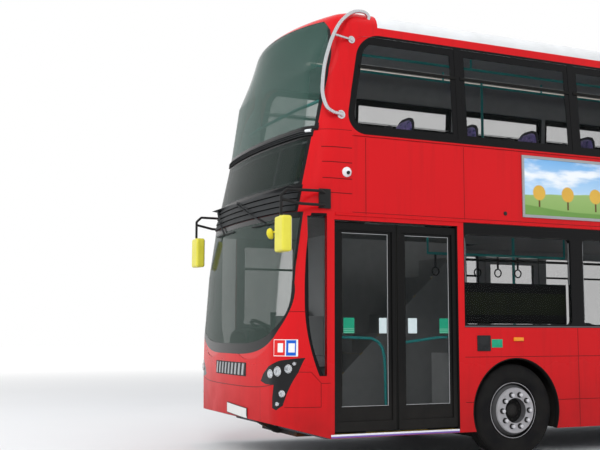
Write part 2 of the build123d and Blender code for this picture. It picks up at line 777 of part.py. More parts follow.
# Passenger seat for two, seen from the side: x from its foot, height
seat_w = 860
seat_h = 440
seat_back_h = 1080
seat_lag = 360
seat_reach = 250
seat_pan = 90
seat_back_t = 70
seat_foot = 60
seat_outline = (
    (-seat_foot, 0),
    (-seat_foot, seat_h - seat_pan),
    (-seat_lag + 100, seat_h - seat_pan),
    (-seat_lag, seat_back_h),
    (seat_back_t - seat_lag, seat_back_h),
    (-170, seat_h),
    (seat_reach, seat_h + 15),
    (seat_reach, seat_h - seat_back_t),
    (seat_foot + 30, seat_h - seat_pan),
    (seat_foot, 0),
)
with BuildPart() as seat_unit:
    with BuildSketch(Plane.XZ.offset(-seat_w / 2)):
        with BuildLine():
            Polyline(*seat_outline, close=True)
        make_face()
    extrude(amount=seat_w)


# Places of a bank of seats that fills the room between two ends, from the fore end back
def seat_row(rear_x, fore_x, y, z):
    rows = 1 + int((fore_x - rear_x - seat_lag - seat_reach) // row_pitch)
    return [(fore_x - seat_reach - row * row_pitch, y, z) for row in range(rows)]


row_pitch = 790
seat_wall_gap = 26
seat_y = floor_y - seat_w / 2 - seat_wall_gap

# Banks of seats of the lower deck: rear end, fore end, y, floor
lower_banks = (
    (exit_x[1] + 230, front_axle_x - front_reach - 10, seat_y, floor_z),
    (low_rear_x + 10, exit_x[0] - 200, seat_y, floor_z),
    (low_rear_x + 10, escape_x[0] - 80, -seat_y, floor_z),
    (bulkhead_x + 20, rear_axle_x - rear_reach - 10, seat_y, rear_floor_z),
    (bulkhead_x + 20, rear_axle_x - rear_reach - 10, -seat_y, rear_floor_z),
)
with BuildPart() as seats_lower:
    for bank in lower_banks:
        with Locations(*seat_row(*bank)):
            add(seat_unit.part)

# Banks of seats of the upper deck, with the stairs on the offside
upper_banks = (
    (tail_x + 800, nose_x - 1050, seat_y, deck_floor_z),
    (nose_x - 1050 - row_pitch, nose_x - 1050, -seat_y, deck_floor_z),
    (tail_x + 800, stair_head_x - 120, -seat_y, deck_floor_z),
)
with BuildPart() as seats_upper:
    for bank in upper_banks:
        with Locations(*seat_row(*bank)):
            add(seat_unit.part)

# Driver's seat on the plinth
with BuildPart() as driver_seat:
    add(
        slice_of(
            seat_unit.part.moved(Location((cab_x[0] + 400, wheel_centre[1], plinth_z))),
            (0, ahead_x),
            (wheel_centre[1] - 240, wheel_centre[1] + 240),
            (0, roof_z),
        )
    )

# Handrail poles from floor to ceiling: x, y, foot, head
pole_r = 17
lower_head = deck_floor_z - deck_floor_t
upper_head = roof_z - roof_wall
pole_y = 300
poles = (
    (entrance_x[0] + 186, pole_y, floor_z, lower_head),
    (front_axle_x - front_reach - 115, pole_y, floor_z, lower_head),
    (exit_x[1] + 200, pole_y + 210, floor_z, lower_head),
    (exit_x[0] - 170, pole_y, floor_z, lower_head),
    (exit_x[0] - 200, -pole_y, floor_z, lower_head),
    (rear_step_x + 120, pole_y, floor_z, lower_head),
    (rear_step_x + 120, -pole_y, floor_z, lower_head),
    (stair_head_x - 60, stair_inner_y + 36, deck_floor_z, upper_head),
    (exit_x[0] + 210, pole_y, deck_floor_z, upper_head),
    (rear_step_x + 300, -pole_y, deck_floor_z, upper_head),
    (rear_axle_x - 380, pole_y, deck_floor_z, upper_head),
)
with BuildPart() as handrails:
    for x, y, foot, head in poles:
        with Locations((x, y, (foot + head) / 2)):
            Cylinder(pole_r, head - foot)

# Chassis: two rails, low ahead and raised over the rear axle, joined by cross members
rail_y = 430
rail_w = 80
rail_h = 55
rear_rail_h = 95
rail_top_z = floor_z - floor_t
rear_rail_z = rear_floor_z - floor_t
tow_x = nose_x - 180
tow_z = skirt_z + bumper_rise - 12
tow_r = 16
tow_boss = 55
member_y = rail_y - rail_w / 2 - seat
low_member_x = (front_split_x - rail_w, exit_x[1] + 500, exit_x[0], rear_step_x + rail_w)
high_member_x = bulkhead_x - 4 * rail_w
with BuildPart() as chassis:
    for y in (rail_y, -rail_y):
        y_range = (y - rail_w / 2, y + rail_w / 2)
        span_box((rear_step_x, front_split_x), y_range, (rail_top_z - rail_h, rail_top_z))
        span_box(
            (rear_step_x - seat - rail_w, rear_step_x - seat),
            y_range,
            (rail_top_z - rail_h, rear_rail_z),
        )
        span_box(
            (rear_split_x, rear_step_x - rail_w - 2 * seat),
            y_range,
            (rear_rail_z - rear_rail_h, rear_rail_z),
        )
    for x in low_member_x:
        span_box((x, x + rail_w), (-member_y, member_y), (rail_top_z - rail_h, rail_top_z))
    span_box(
        (high_member_x, high_member_x + rail_w),
        (-member_y, member_y),
        (rear_rail_z - rear_rail_h, rear_rail_z),
    )
    with BuildSketch(Plane.XZ.offset(-tow_boss)):
        with BuildLine():
            Polyline(
                (front_split_x + seat, rail_top_z - rail_h),
                (floor_front_x + gap, rail_top_z - rail_h),
                (tow_x - tow_boss, tow_z - rail_h / 2),
                (tow_x + tow_boss, tow_z - rail_h / 2),
                (tow_x + tow_boss, tow_z + rail_h / 2),
                (tow_x - tow_boss, tow_z + rail_h / 2),
                (floor_front_x + gap, rail_top_z),
                (front_split_x + seat, rail_top_z),
                close=True,
            )
        make_face()
    extrude(amount=2 * tow_boss)
    with Locations((tow_x, 0, tow_z)):
        Cylinder(tow_r, rail_h, mode=Mode.SUBTRACT)

# Engine: one block at its place, on the raised rails
with BuildPart() as engine:
    span_box(
        (rear_split_x + 60, bulkhead_x - 120),
        (rail_w / 2 - rail_y + 5, rail_y - rail_w / 2 - 5),
        (rear_rail_z - 260, rear_rail_z - rear_rail_h),
    )
    span_box((rear_split_x + 60, bulkhead_x - 120), (-rail_y - 40, rail_y + 40), (rear_rail_z, 1450))
    span_box(
        (rear_split_x + 60, bulkhead_x - 4 * rail_w - 20),
        (rail_w / 2 - rail_y + 5, rail_y - rail_w / 2 - 5),
        (rear_rail_z - rear_rail_h, rear_rail_z),
    )

# Front axle: a dropped beam with a kingpin eye at each end
eye_r = 46
eye_h = 90
fork_t = 34
kingpin_r = 20
beam_w = 90
beam_drop_y = (585, 645)
beam_z = (rail_top_z - rail_h - 85, rail_top_z - rail_h)
with BuildPart() as front_axle:
    span_box(
        (front_axle_x - beam_w / 2, front_axle_x + beam_w / 2),
        (-beam_drop_y[1], beam_drop_y[1]),
        beam_z,
    )
    for hand in (1, -1):
        y_drop = sorted((hand * beam_drop_y[0], hand * beam_drop_y[1]))
        y_stub = sorted((hand * beam_drop_y[0], hand * kingpin_y))
        x_range = (front_axle_x - beam_w / 2, front_axle_x + beam_w / 2)
        x_stub = (front_axle_x - eye_r * 0.7, front_axle_x + eye_r * 0.7)
        span_box(x_range, y_drop, (beam_z[0], tyre_r + eye_h / 2))
        span_box(x_stub, y_stub, (tyre_r - eye_h / 2, tyre_r + eye_h / 2))
        with Locations((front_axle_x, hand * kingpin_y, tyre_r)):
            Cylinder(eye_r, eye_h)
            Cylinder(kingpin_r + fit, 2 * eye_h, mode=Mode.SUBTRACT)


# Steering knuckle: kingpin, fork and spindle on one side
def knuckle(hand):
    fork_z = eye_h / 2 + 5
    back_y = eye_r + 10
    with BuildPart() as casting:
        with Locations((front_axle_x, hand * kingpin_y, tyre_r)):
            Cylinder(kingpin_r, 2 * fork_z + fork_t)
        for level in (1, -1):
            with Locations((front_axle_x, hand * kingpin_y, tyre_r + level * (fork_z + fork_t / 2))):
                Cylinder(eye_r, fork_t)
            y_range = sorted((hand * kingpin_y, hand * (kingpin_y + back_y)))
            z_range = sorted((tyre_r + level * fork_z, tyre_r + level * (fork_z + fork_t)))
            span_box((front_axle_x - eye_r, front_axle_x + eye_r), y_range, z_range)
        y_range = sorted((hand * (kingpin_y + back_y), hand * (kingpin_y + back_y + 20)))
        z_range = (tyre_r - fork_z - fork_t, tyre_r + fork_z + fork_t)
        span_box((front_axle_x - eye_r, front_axle_x + eye_r), y_range, z_range)
        spindle_l = front_wheel_y + 60 - kingpin_y - back_y - 20
        with Locations((front_axle_x, hand * (kingpin_y + back_y + 20 + spindle_l / 2), tyre_r)):
            Cylinder(spindle_r, spindle_l, rotation=(90, 0, 0))
    return casting.part


with BuildPart() as knuckle_near:
    add(knuckle(1))

with BuildPart() as knuckle_off:
    add(knuckle(-1))

# Rear axle: tube, final drive housing, spring pads and spindles
twin_inner_y = twin_outer_y - twin_spacing
with BuildPart() as rear_axle:
    with Locations((rear_axle_x, 0, tyre_r)):
        Cylinder(axle_tube_r, 2 * (twin_inner_y - rim_w / 2), rotation=(90, 0, 0))
        Cylinder(rear_spindle_r, 2 * (twin_outer_y + 90), rotation=(90, 0, 0))
        Sphere(190)
    span_box(
        (rear_axle_x - beyond_y, rear_axle_x + beyond_y),
        full_y,
        (rear_rail_z - rear_rail_h, roof_z),
        mode=Mode.SUBTRACT,
    )
    for y in (rail_y, -rail_y):
        span_box(
            (rear_axle_x - rail_w / 2, rear_axle_x + rail_w / 2),
            (y - rail_w / 2, y + rail_w / 2),
            (tyre_r, rear_rail_z - rear_rail_h),
        )


# Tyre drawn at one place on the Y axis and turned about it
def tyre(centres):
    with BuildPart() as rubber:
        for y in centres:
            with BuildSketch(Plane.YZ):
                with Locations((y, (tyre_r + rim_r + seat) / 2)):
                    RectangleRounded(tyre_w, tyre_r - rim_r - seat, tyre_shoulder)
            revolve(axis=Axis.Y)
    return rubber.part


# Front wheel: rim barrel, a nave that stands out past the rim, its hub set back inside, and the nuts
def front_wheel():
    disc_y = rim_w / 2 + nave_proud
    sleeve_r = hub_r + nave_t
    with BuildPart() as rim:
        with BuildSketch(Plane.YZ):
            with Locations((0, rim_r - rim_t / 2)):
                Rectangle(rim_w, rim_t)
            with BuildLine():
                Polyline(
                    (rim_w / 2 - 60, rim_r - rim_t),
                    (rim_w / 2 - 42, rim_r - rim_t),
                    (disc_y, nave_r),
                    (disc_y, hub_r),
                    (rim_w / 2 - 32, hub_r),
                    (rim_w / 2 - 32, spindle_r + fit),
                    (rim_w / 2 - 122, spindle_r + fit),
                    (rim_w / 2 - 122, hub_r),
                    (rim_w / 2 - 60, hub_r),
                    (rim_w / 2 - 60, sleeve_r),
                    (disc_y - nave_t, sleeve_r),
                    (disc_y - nave_t, nave_r - nave_t),
                    close=True,
                )
            make_face()
        revolve(axis=Axis.Y)
        with Locations(Plane(origin=(0, disc_y, 0), x_dir=(1, 0, 0), z_dir=(0, 1, 0))):
            with PolarLocations(stud_pcd / 2, stud_count):
                Cylinder(nut_r, nut_t, align=(Align.CENTER, Align.CENTER, Align.MIN))
    return rim.part


# Rear twin wheels: two barrels joined by a deep set disc and hub
def rear_wheel():
    disc_y = -twin_spacing / 2
    with BuildPart() as rims:
        with BuildSketch(Plane.YZ):
            for y in (0, -twin_spacing):
                with Locations((y, rim_r - rim_t / 2)):
                    Rectangle(rim_w, rim_t)
            with Locations((disc_y, rim_r - rim_t / 2)):
                Rectangle(twin_spacing - rim_w + 2 * rim_t, rim_t)
            with Locations((disc_y, (rim_r + hub_r) / 2 - rim_t / 2)):
                Rectangle(24, rim_r - hub_r - rim_t)
            with Locations((disc_y + 90, (hub_r + rear_spindle_r + fit) / 2)):
                Rectangle(220, hub_r - rear_spindle_r - fit)
        revolve(axis=Axis.Y)
        with Locations(Plane(origin=(0, disc_y + 12, 0), x_dir=(1, 0, 0), z_dir=(0, 1, 0))):
            with PolarLocations(stud_pcd / 2, stud_count):
                Cylinder(nut_r, nut_t, align=(Align.CENTER, Align.CENTER, Align.MIN))
    return rims.part


# Wheels and tyres carried to their axles; the offside ones face the other way
rolling = (
    ("front_near", front_axle_x, front_wheel_y, 0),
    ("front_off", front_axle_x, -front_wheel_y, 180),
    ("rear_near", rear_axle_x, twin_outer_y, 0),
    ("rear_off", rear_axle_x, -twin_outer_y, 180),
)
wheel_parts = {"front": front_wheel(), "rear": rear_wheel()}
tyre_parts = {"front": tyre((0,)), "rear": tyre((0, -twin_spacing))}
turning = []
for name, x, y, turn in rolling:
    kind = name.split("_")[0]
    for stem, shapes in (("wheel", wheel_parts), ("tyre", tyre_parts)):
        with BuildPart() as piece:
            with Locations(Location((x, y, tyre_r), (0, 0, turn))):
                add(shapes[kind])
        turning.append((stem + "_" + name, piece))

# Doors: each leaf hangs near its middle on the arms of a turning post tucked behind its jamb
leaf_y = side_y - leaf_set_back - leaf_t / 2
post_y = leaf_y - post_offset
leaf_z = (floor_z + leaf_arm_gap + leaf_arm_t + 5, door_head_z - gap - leaf_arm_t - 5)


def door_leaf(jamb_x, reach, width):
    x_range = sorted((jamb_x, jamb_x + reach * width))
    y_range = (leaf_y - leaf_t / 2, leaf_y + leaf_t / 2)
    pane_y = (leaf_y - pane_t / 2, leaf_y + pane_t / 2)
    hinge_x = jamb_x + reach * (width - post_recess) / 2
    inner_x = (x_range[0] + leaf_border, x_range[1] - leaf_border)
    inner_z = (leaf_z[0] + 2 * leaf_border, leaf_z[1] - 1.5 * leaf_border)
    pin_z = (leaf_z[0] - 5 - leaf_arm_t, leaf_z[1] + 5 + leaf_arm_t)
    with BuildPart() as leaf:
        span_box(x_range, y_range, leaf_z)
        with Locations((hinge_x, leaf_y, (pin_z[0] + pin_z[1]) / 2)):
            Cylinder(pin_r, pin_z[1] - pin_z[0])
        span_box(inner_x, (pane_y[1], y_range[1]), inner_z, mode=Mode.SUBTRACT)
        span_box(inner_x, (y_range[0], pane_y[0]), inner_z, mode=Mode.SUBTRACT)
    return leaf.part


def door_arm(jamb_x, reach, width):
    post_x = jamb_x - reach * post_recess
    hinge_x = jamb_x + reach * (width - post_recess) / 2
    length = hypot(hinge_x - post_x, post_offset)
    turn = degrees(atan2(post_offset, hinge_x - post_x))
    heights = (leaf_z[0] - 5 - leaf_arm_t / 2, leaf_z[1] + 5 + leaf_arm_t / 2)
    post_z = (floor_z + seat, deck_floor_z - deck_floor_t - seat)
    with BuildPart() as arm:
        with Locations((post_x, post_y, (post_z[0] + post_z[1]) / 2)):
            Cylinder(post_r, post_z[1] - post_z[0])
        for height in heights:
            middle = ((post_x + hinge_x) / 2, (post_y + leaf_y) / 2, height)
            with Locations(Location(middle, (0, 0, turn))):
                Box(length, 2 * post_r, leaf_arm_t)
            with Locations((hinge_x, leaf_y, height)):
                Cylinder(post_r, leaf_arm_t)
                Cylinder(pin_r + fit, 2 * leaf_arm_t, mode=Mode.SUBTRACT)
    return arm.part


doors = []
for door, (rear_x, fore_x) in (("entrance", entrance_x), ("exit", exit_x)):
    leaf_w = (fore_x - rear_x - 2 * leaf_jamb_gap - leaf_mid_gap) / 2
    for end, jamb, reach in (("rear", rear_x + leaf_jamb_gap, 1), ("fore", fore_x - leaf_jamb_gap, -1)):
        with BuildPart() as leaf:
            add(door_leaf(jamb, reach, leaf_w))
        with BuildPart() as arm:
            add(door_arm(jamb, reach, leaf_w))
        doors.append((door + "_leaf_" + end, leaf))
        doors.append((door + "_arm_" + end, arm))

# Headlamp clusters: clear covers that fill the lamp openings
with BuildPart() as headlamps:
    add(slice_of(nose_shell.part, (front_split_x, ahead_x), full_y, (bumper_z - 400, bumper_z + 400)))
    add(lamp_prism(seat), mode=Mode.INTERSECT)

# Tail lamps: round lamps in shallow pockets beside the lid
with BuildPart() as tail_lamps:
    with Locations(*tail_lamp_places):
        Cylinder(tail_lamp_r, tail_lamp_t, rotation=(0, 90, 0), align=(Align.CENTER, Align.CENTER, Align.MIN))

# Wipers: a blade and an arm for each half of the windscreen, lying just off the glass
wiper_t = 24
with BuildPart() as wiper_layer:
    add(nose_form(lower_levels, -wiper_t))
    add(nose_form(lower_levels, -seat), mode=Mode.SUBTRACT)
wiper_z = (2342, 2366, 2652)
blade_half = 330
with BuildPart() as wiper_outlines:
    for pivot_y, end_y in ((-143, 712), (-960, -452)):
        with BuildSketch(Plane.YZ.offset(nose_x - 2 * corner_radius)):
            with BuildLine():
                Polyline(
                    (pivot_y - 30, wiper_z[2]),
                    (pivot_y + 30, wiper_z[2]),
                    (end_y + 14, wiper_z[1]),
                    (end_y + blade_half, wiper_z[1]),
                    (end_y + blade_half, wiper_z[0]),
                    (end_y - blade_half, wiper_z[0]),
                    (end_y - blade_half, wiper_z[1]),
                    (end_y - 14, wiper_z[1]),
                    close=True,
                )
            make_face()
        extrude(amount=3 * corner_radius)
with BuildPart() as wipers:
    add(slice_of(wiper_layer.part, (front_split_x, ahead_x), full_y, (bumper_z, deck_z)))
    add(wiper_outlines.part, mode=Mode.INTERSECT)

# Mirrors: housing, two tube arms and a root plate on each corner
arm_r = 14
mirror_centre = (nose_x - 84, side_y + 14, 2205)
mirror_size = (100, 210, 340)
root_x = nose_x - 520
root_z = 2565
mirror_arm_x = nose_x - 60
upper_route = (
    (root_x, side_y + 12, root_z + 55),
    (root_x + 60, side_y + 52, root_z + 68),
    (nose_x - 120, side_y + 24, root_z + 66),
    (mirror_arm_x, side_y + 18, root_z + 10),
    (mirror_arm_x, side_y + 16, mirror_centre[2] + 150),
)
lower_route = (
    (root_x, side_y + 12, root_z - 60),
    (root_x + 60, side_y + 48, root_z - 68),
    (nose_x - 260, side_y + 32, root_z - 64),
    (mirror_arm_x, side_y + 18, root_z - 26),
)


def tube(route, radius, bend):
    start = Vector(*route[0])
    heading = Vector(*route[1]) - start
    with BuildPart() as pipe:
        with BuildLine():
            FilletPolyline(*route, radius=bend)
        with BuildSketch(Plane(origin=start, z_dir=heading)):
            Circle(radius)
        sweep()
    return pipe.part


with BuildPart() as mirrors:
    with Locations(mirror_centre):
        Box(*mirror_size)
    fillet(mirrors.edges(), radius=24)
    add(tube(upper_route, arm_r, 30))
    add(tube(lower_route, arm_r, 30))
    span_box((root_x - 60, root_x + 60), (side_y + seat, side_y + 24), (root_z - 95, root_z + 95))
    mirror(about=Plane.XZ)

# Tree guard: a bent steel tube from the corner pillar over the edge of the roof
guard_r = 25
guard_foot = (nose_x - 720, side_y - 16, 3425)
guard_head = (nose_x - 1070, side_y - 125, roof_z - 110)
guard_route = (
    guard_foot,
    (nose_x - 535, side_y + 34, 3452),
    (nose_x - 480, side_y + 30, 3600),
    (nose_x - 520, side_y + 20, 3910),
    (nose_x - 625, side_y - 18, 4200),
    (nose_x - 735, side_y - 60, 4375),
    (nose_x - 880, side_y - 92, roof_z - 32),
    (nose_x - 1010, side_y - 102, roof_z - 12),
    (nose_x - 1075, side_y - 112, roof_z - 50),
    guard_head,
)
guard_clip = ((nose_x - 640, side_y - 24, 4222), (nose_x - 855, side_y - 75, 4205))
guard_flange_r = 48
with BuildPart() as tree_guard:
    add(tube(guard_route, guard_r, 42))
    with Locations(guard_foot):
        Cylinder(guard_flange_r, 50, rotation=(90, 0, 0))
    with Locations(Location((guard_head[0], guard_head[1] - 5, guard_head[2] + 30), (-55, 0, 0))):
        Cylinder(guard_flange_r, 60)
    with BuildSketch(Plane(origin=guard_clip[0], z_dir=Vector(*guard_clip[1]) - Vector(*guard_clip[0]))):
        Circle(0.6 * guard_r)
    extrude(amount=(Vector(*guard_clip[1]) - Vector(*guard_clip[0])).length)
    with Locations(guard_clip[1]):
        Cylinder(0.8 * guard_flange_r, 60, rotation=(90, 0, 0))
    add(nose_form(upper_levels, -seat, -seat, roof_radius), mode=Mode.SUBTRACT)

# Advert frames: a flat frame on each side between the decks
advert_x = (rear_axle_x - 580, nose_x - 2860)
advert_z = (2506, 3176)
advert_t = 12
advert_border = 30
with BuildPart() as advert_frames:
    for hand in (1, -1):
        y_range = sorted((hand * (side_y + seat), hand * (side_y + seat + advert_t)))
        span_box(advert_x, y_range, advert_z)
        y_range = sorted((hand * (side_y + seat + advert_t / 2), hand * (side_y + seat + advert_t)))
        x_range = (advert_x[0] + advert_border, advert_x[1] - advert_border)
        z_range = (advert_z[0] + advert_border, advert_z[1] - advert_border)
        span_box(x_range, y_range, z_range, mode=Mode.SUBTRACT)

pieces = [
    ("front_bumper", front_bumper),
    ("front_panel", front_panel),
    ("windscreen", windscreen),
    ("front_mid_panel", front_mid_panel),
    ("destination_glass", destination_glass),
    ("front_dome", front_dome),
    ("upper_windscreen", upper_windscreen),
    ("roof", roof),
    ("rear_lower", rear_lower),
    ("rear_mid_panel", rear_mid_panel),
    ("rear_upper", rear_upper),
    ("rear_glass", rear_glass),
    ("engine_lid", engine_lid),
    ("side_lower_near", side_lower_near),
    ("side_lower_off", side_lower_off),
    ("side_upper_near", side_upper_near),
    ("side_upper_off", side_upper_off),
    ("glass_near", glass_near),
    ("glass_off", glass_off),
    ("emergency_door", emergency_door),
    ("lower_floor", lower_floor),
    ("wheel_boxes", wheel_boxes),
    ("bulkhead", bulkhead),
    ("upper_floor", upper_floor),
    ("stairs", stairs),
    ("cab_screen", cab_screen),
    ("cab_door", cab_door),
    ("dashboard", dashboard),
    ("driver_seat", driver_seat),
    ("seats_lower", seats_lower),
    ("seats_upper", seats_upper),
    ("handrails", handrails),
    ("chassis", chassis),
    ("engine", engine),
    ("front_axle", front_axle),
    ("knuckle_near", knuckle_near),
    ("knuckle_off", knuckle_off),
    ("rear_axle", rear_axle),
    ("headlamps", headlamps),
    ("tail_lamps", tail_lamps),
    ("wipers", wipers),
    ("mirrors", mirrors),
    ("tree_guard", tree_guard),
    ("advert_frames", advert_frames),
]
for name, piece in pieces + turning + doors:
    piece.part.label = name
    export_step(piece.part, "parts/" + name + ".step")
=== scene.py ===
import math

import bmesh
import bpy
from mathutils import Matrix, Vector
from mathutils.bvhtree import BVHTree


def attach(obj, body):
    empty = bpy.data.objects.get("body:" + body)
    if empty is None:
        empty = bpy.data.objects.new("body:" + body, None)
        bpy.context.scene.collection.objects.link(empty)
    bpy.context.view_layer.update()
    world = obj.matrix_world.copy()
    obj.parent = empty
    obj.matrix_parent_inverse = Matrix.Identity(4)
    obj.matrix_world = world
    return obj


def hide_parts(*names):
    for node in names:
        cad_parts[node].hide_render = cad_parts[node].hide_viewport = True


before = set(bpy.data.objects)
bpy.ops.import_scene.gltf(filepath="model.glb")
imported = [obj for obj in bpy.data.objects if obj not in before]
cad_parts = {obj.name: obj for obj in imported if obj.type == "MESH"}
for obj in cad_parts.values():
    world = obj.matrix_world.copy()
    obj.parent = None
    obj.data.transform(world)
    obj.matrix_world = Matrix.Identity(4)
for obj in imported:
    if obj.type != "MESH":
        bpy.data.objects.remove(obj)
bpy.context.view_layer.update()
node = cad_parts


# Chassis: two box-section rails, cross members and a towing arm, welded from steel plate and painted black.
# Road dust lies on it and rust comes through at the welds.


class Wire:
    """A node's output, written in sums and linked to the sockets of other nodes."""

    def __init__(self, tree, socket=None):
        self.tree, self.socket = tree, socket

    def node(self, kind, links=(), out=0, stops=(), **settings):
        made = self.tree.nodes.new(kind)
        for name, value in settings.items():
            setattr(made, name, value)
        for place, (position, colour) in enumerate(stops):
            ramp = made.color_ramp.elements
            stop = ramp[place] if place < 2 else ramp.new(position)
            stop.position, stop.color = position, (*colour, 1)
        for name, value in dict(links).items():
            end = made.inputs[name]
            for one in value if isinstance(value, list) else [value]:
                if isinstance(one, Wire):
                    self.tree.links.new(one.socket, end)
                else:
                    end.default_value = (*one, 1) if end.type == "RGBA" else one
        return Wire(self.tree, made.outputs[out]) if made.outputs else None

    def maths(self, operation, *others):
        return self.node("ShaderNodeMath", dict(enumerate((self, *others))), operation=operation)

    def __add__(self, other):
        return self.maths("ADD", other)

    def __sub__(self, other):
        return self.maths("SUBTRACT", other)

    def __mul__(self, other):
        return self.maths("MULTIPLY", other)

    def __truediv__(self, other):
        return self.maths("DIVIDE", other)

    def __rsub__(self, other):
        return self.node("ShaderNodeMath", {0: other, 1: self}, operation="SUBTRACT")

    def __or__(self, other):
        return self.maths("MAXIMUM", other)

    def __and__(self, other):
        return self.maths("MINIMUM", other)

    def __abs__(self):
        return self.maths("ABSOLUTE")

    def __pow__(self, other):
        return self.maths("POWER", other)

    __radd__, __rmul__ = __add__, __mul__

    def near(self, at, half):
        return self.maths("COMPARE", at, half)

    def over(self, edge, soft=0.002):
        span = {"Value": self, "From Min": edge - soft, "From Max": edge + soft}
        return self.node("ShaderNodeMapRange", span, interpolation_type="SMOOTHSTEP")

    def between(self, low, high, soft=0.002):
        return self.over(low, soft) * (1 - self.over(high, soft))

    def blend(self, off, on):
        links = {0: self, 6: off, 7: on}
        return self.node("ShaderNodeMix", links, 2, data_type="RGBA")

    def parts(self):
        """The three numbers of a vector."""
        split = self.node("ShaderNodeSeparateXYZ", {0: self}).socket.node.outputs
        return [Wire(self.tree, split[axis]) for axis in range(3)]

    def place(self):
        return self.node("ShaderNodeTexCoord", out=3).parts()

    def facing(self):
        return self.node("ShaderNodeTexCoord", out=1).parts()

    def noise(self, scale, detail=3.0, stretch=(1, 1, 1)):
        at = self.node("ShaderNodeTexCoord", out=3)
        at = self.node("ShaderNodeMapping", {"Vector": at, "Scale": stretch})
        return self.node("ShaderNodeTexNoise", {"Vector": at, "Scale": scale, "Detail": detail})


def finish_of(name, coat):
    """A finish from coat(w), which gives the shader's sockets; height is bump in metres."""
    made = bpy.data.materials.new(name)
    made.use_nodes = True
    made.node_tree.nodes.clear()
    w = Wire(made.node_tree)
    sockets = {"Specular IOR Level": 0.12, **coat(w)}
    height = sockets.pop("height", None)
    if height is not None:
        sockets["Normal"] = w.node("ShaderNodeBump", {"Height": height, "Distance": 1.0})
    w.node("ShaderNodeOutputMaterial", {"Surface": w.node("ShaderNodeBsdfPrincipled", sockets)})
    return made


def dress(finish, *names):
    for name in names:
        for slot in node[name].material_slots:
            slot.material = finish


def chassis_coat(w):
    nz = w.facing()[2]
    rust = w.noise(7, 6).over(0.60, 0.07)
    dust = w.noise(3, 5) * nz.over(0.2, 0.5) * 0.9 + w.noise(24, 3) * 0.2
    colour = rust.blend(dust.blend((0.015, 0.015, 0.017), (0.14, 0.125, 0.105)), (0.10, 0.034, 0.012))
    grit = w.noise(160, 3) * 0.0006
    return {"Base Color": colour, "Roughness": dust * 0.4 + 0.5, "height": grit + rust * 0.0004}


chassis_paint = finish_of("chassis_paint", chassis_coat)
dress(chassis_paint, "chassis")


# Axles, knuckles and engine: forged and cast iron, left rough from the mould and greasy, bolted up under
# the rails. The engine is one block at its place behind the lid.
def casting_coat(w):
    grease = w.noise(6, 5).over(0.52, 0.12)
    colour = grease.blend((0.060, 0.052, 0.045), (0.012, 0.011, 0.010))
    sand = w.noise(90, 4) * 0.0012
    return {"Base Color": colour, "Roughness": 0.85 - grease * 0.45, "Metallic": 0.35, "height": sand}


def engine_coat(w):
    z = w.place()[2]
    soot = w.noise(4, 5).over(0.5, 0.15)
    ribs = (z * 40).maths("PINGPONG", 1.0).over(0.5, 0.2)
    colour = soot.blend((0.10, 0.115, 0.12), (0.02, 0.02, 0.018))
    return {"Base Color": colour, "Roughness": soot * 0.2 + 0.6, "Metallic": 0.5, "height": ribs * 0.006}


cast_iron = finish_of("cast_iron", casting_coat)
engine_iron = finish_of("engine_iron", engine_coat)
dress(cast_iron, "front_axle", "rear_axle", "knuckle_near", "knuckle_off")
dress(engine_iron, "engine")


# Wheels: pressed steel discs welded into rolled rims, sprayed silver and bolted on by ten nuts on washers,
# each nut under a bright domed cap. The cast hub stands through the middle, closed by a bolted cap.
axle_z = 0.479
front_axle_x, rear_axle_x = 2.46, -2.87
rolling = (
    # body, node, axle x, side, face of the disc, face of the hub
    ("front_wheel_near", "front_near", front_axle_x, 1, 1.230, 1.158),
    ("front_wheel_off", "front_off", front_axle_x, -1, 1.230, 1.158),
    ("rear_wheel_near", "rear_near", rear_axle_x, 1, 0.935, 1.123),
    ("rear_wheel_off", "rear_off", rear_axle_x, -1, 0.935, 1.123),
)


def circle(count):
    """The cosine and sine of equal steps round a circle."""
    turns = [2 * math.pi * step / count for step in range(count)]
    return [(math.cos(turn), math.sin(turn)) for turn in turns]


